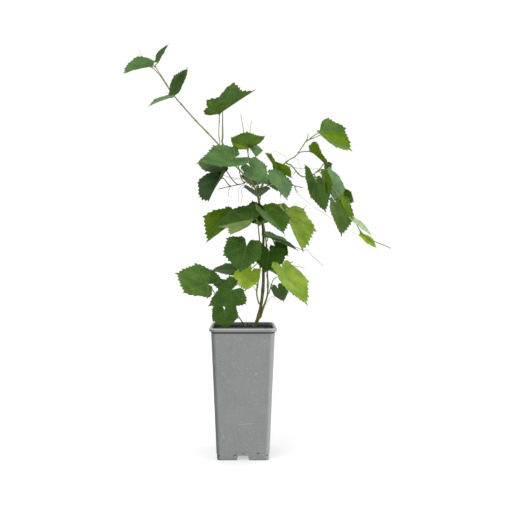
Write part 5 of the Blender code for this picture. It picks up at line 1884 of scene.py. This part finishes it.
class GRAPEVINE_OT_stems(Operator):
    """Build the barked trunk and the green canes"""

    bl_idname = "grapevine.stems"
    bl_label = "Stems"

    def execute(self, context):
        """Builds the limbs in place of their plain solids."""
        stems = context.scene.grapevine_stems
        limbs = limb_places()
        chance = random.Random(SEED)
        skin = stem_material("bark", stems.bark, stems.bark_light, BARK_SKIN)
        trunk = [knuckles(limbs["trunk"], TRUNK_JOINTS, chance)]
        relief = stems.bark_relief, BARK_FURROWS
        piece = tubes("trunk_bark", trunk, stems.trunk_sides, skin, *relief)
        finish_piece(piece, ["trunk"])
        skin = stem_material("green_cane", stems.cane, stems.cane_ripe, CANE_SKIN)
        names = [row.name for row in LIMBS if row.name != "trunk"]
        canes = [knuckles(limbs[name], CANE_JOINTS, chance) for name in names]
        relief = stems.cane_relief, CANE_FURROWS
        piece = tubes("green_canes", canes, stems.cane_sides, skin, *relief)
        finish_piece(piece, names)
        return {"FINISHED"}


class GRAPEVINE_OT_shoots(Operator):
    """Build the leafy shoots, the leaf stalks and the tendrils"""

    bl_idname = "grapevine.shoots"
    bl_label = "Shoots and stalks"

    def execute(self, context):
        """Builds what carries the blades."""
        stems = context.scene.grapevine_stems
        limbs = limb_places()
        shoots, stalks, tendrils = grow_masses(limbs)
        skin = stem_material("shoot_skin", stems.cane, stems.stalk, SHOOT_SKIN)
        finish_piece(tubes("leafy_shoots", shoots, stems.cane_sides, skin), [])
        skin = stem_material("stalk_skin", stems.stalk, stems.stalk_flush, STALK_SKIN)
        finish_piece(tubes("leaf_stalks", stalks, stems.stalk_sides, skin), [])
        skin = stem_material("tendril_skin", stems.tendril, stems.stalk, TENDRIL_SKIN)
        finish_piece(tubes("tendrils", tendrils, stems.tendril_sides, skin), [])
        colours = {
            "green": (stems.cane, stems.stalk),
            "thread": (stems.tendril, stems.dry_light),
            "dry": (stems.dry, stems.cane_ripe),
            "bleached": (stems.dry_light, stems.cane_ripe),
        }
        for kind, places in grow_sprigs(limbs, shoots).items():
            skin = stem_material(kind + "_skin", *colours[kind], SPRIG_SKIN)
            piece = tubes(kind + "_sprigs", places, stems.sprig_sides, skin)
            finish_piece(piece, [])
        return {"FINISHED"}


class GRAPEVINE_OT_leaves(Operator):
    """Build the toothed leaf blades"""

    bl_idname = "grapevine.leaves"
    bl_label = "Leaves"

    def execute(self, context):
        """Builds the blades in place of the plain masses of foliage."""
        settings = context.scene.grapevine_leaves
        materials = [
            leaf_material("leaf_upper_side", settings, UPPER_SIDE),
            leaf_material("leaf_underside", settings, UNDERSIDE),
        ]
        for slot in ("leaf_deep", "leaf_blue", "leaf_lime"):
            masses = [mass for mass in MASSES if mass.slot == slot]
            leaves = [
                (leaf, WAVE_SHIFT * i) for mass in masses for i, leaf in enumerate(mass.leaves)
            ]
            if slot == "leaf_lime":
                leaves += [(leaf, 0) for leaf in LITTER]
            piece = build_blades(slot.replace("leaf", "blades"), leaves, settings, materials)
            finish_piece(piece, [mass.name for mass in masses])
        return {"FINISHED"}


class GRAPEVINE_PT_panel(Panel):
    """The makers of every piece, in order"""

    bl_idname = "GRAPEVINE_PT_panel"
    bl_label = "Grapevine"
    bl_space_type = "VIEW_3D"
    bl_region_type = "UI"
    bl_category = "Grapevine"

    def draw(self, context):
        """Lists the operators and the settings of each."""
        for maker, settings in MAKERS:
            self.layout.operator(maker.bl_idname)
            group = getattr(context.scene, settings)
            for key in group.__annotations__:
                self.layout.prop(group, key)


MAKERS = (
    (GRAPEVINE_OT_pot, "grapevine_pot"),
    (GRAPEVINE_OT_soil, "grapevine_soil"),
    (GRAPEVINE_OT_stems, "grapevine_stems"),
    (GRAPEVINE_OT_shoots, "grapevine_stems"),
    (GRAPEVINE_OT_leaves, "grapevine_leaves"),
    (GRAPEVINE_OT_stage, "grapevine_stage"),
)
SETTINGS = {
    "grapevine_pot": PotSettings,
    "grapevine_soil": SoilSettings,
    "grapevine_stems": StemSettings,
    "grapevine_leaves": LeafSettings,
    "grapevine_stage": StageSettings,
}


# The stage

FLOOR_HALF_WIDTH = 6.0
FLOOR_FRONT = -4.0
BACKDROP_AT = 4.5
BACKDROP_ROUND = 1.5
BACKDROP_HEIGHT = 6.0
BACKDROP_STEPS = 16
KEY_LIGHT = (1.6, (-1.3, -1.5, 2.4))  # size and place
FILL_LIGHT = (1.2, (1.6, 0.6, 1.9))
LIGHTS_AIM = Vector((0, 0, 0.5))
SENSOR = 36  # millimetres
PICTURE_PIXELS = 510
MIDDLE_PIXEL = 243  # the pot's middle falls this far across the render
HORIZON_PIXEL = 264  # and the camera's own height this far down


def make_floor(stage):
    """A pale floor that curves up into a backdrop."""
    profile = [(FLOOR_FRONT, 0.0)]
    for step in range(BACKDROP_STEPS + 1):
        turn = math.radians(90) * step / BACKDROP_STEPS
        rise = BACKDROP_ROUND * (1 - math.cos(turn))
        profile.append((BACKDROP_AT + BACKDROP_ROUND * math.sin(turn), rise))
    profile.append((BACKDROP_AT + BACKDROP_ROUND, BACKDROP_HEIGHT))
    work = bmesh.new()
    rows = [
        [work.verts.new((x, y, z)) for x in (-FLOOR_HALF_WIDTH, FLOOR_HALF_WIDTH)]
        for y, z in profile
    ]
    for (a, b), (c, d) in zip(rows, rows[1:]):
        work.faces.new((a, b, d, c))
    floor = mesh_object("floor", work)
    floor.data.shade_smooth()
    floor.data.materials.append(floor_material(stage))


def make_lights(stage):
    """Even light from all round, a large soft light high in front and a second one behind."""
    world = bpy.data.worlds.new("even_light")
    world.use_nodes = True
    sky = world.node_tree.nodes["Background"].inputs
    sky["Color"].default_value = (1, 1, 1, 1)
    sky["Strength"].default_value = stage.sky
    bpy.context.scene.world = world
    bpy.context.scene.view_settings.view_transform = "Standard"
    for name, power, (size, place) in (
        ("key", stage.key, KEY_LIGHT), ("fill", stage.fill, FILL_LIGHT),
    ):
        light = bpy.data.lights.new(name, "AREA")
        light.shape = "DISK"
        light.size = size
        light.energy = power
        obj = put_in_scene(name, light)
        obj.location = place
        aim = LIGHTS_AIM - Vector(place)
        obj.rotation_euler = aim.to_track_quat("-Z", "Y").to_euler()


def make_camera(stage):
    """A level camera in front of the pot."""
    camera = bpy.data.cameras.new("camera")
    camera.lens = stage.lens
    camera.sensor_width = SENSOR
    camera.shift_x = (PICTURE_PIXELS / 2 - MIDDLE_PIXEL) / PICTURE_PIXELS
    camera.shift_y = (HORIZON_PIXEL - PICTURE_PIXELS / 2) / PICTURE_PIXELS
    obj = put_in_scene("camera", camera)
    obj.location = (0, -stage.distance, stage.eye)
    obj.rotation_euler = (math.radians(90), 0, 0)
    bpy.context.scene.camera = obj


# Registration


def register():
    """Registers every class and hangs the settings on the scene."""
    for settings in SETTINGS.values():
        bpy.utils.register_class(settings)
    for maker, _ in MAKERS:
        bpy.utils.register_class(maker)
    bpy.utils.register_class(GRAPEVINE_PT_panel)
    for name, settings in SETTINGS.items():
        setattr(bpy.types.Scene, name, PointerProperty(type=settings))


def unregister():
    """Takes everything off again."""
    for name in SETTINGS:
        delattr(bpy.types.Scene, name)
    bpy.utils.unregister_class(GRAPEVINE_PT_panel)
    for maker, _ in reversed(MAKERS):
        bpy.utils.unregister_class(maker)
    for settings in reversed(SETTINGS.values()):
        bpy.utils.unregister_class(settings)


def make_trees():
    """Builds the shared node groups once."""
    make_speckle_group()
    make_scuff_group()
    make_grain_group()
    make_vein_group()
    make_tube_tree()
    make_crumb_tree()


def main():
    """Builds the whole model."""
    register()
    make_trees()
    for maker, _ in MAKERS:
        group, name = maker.bl_idname.split(".")
        getattr(getattr(bpy.ops, group), name)()


if __name__ == "__main__":
    main()
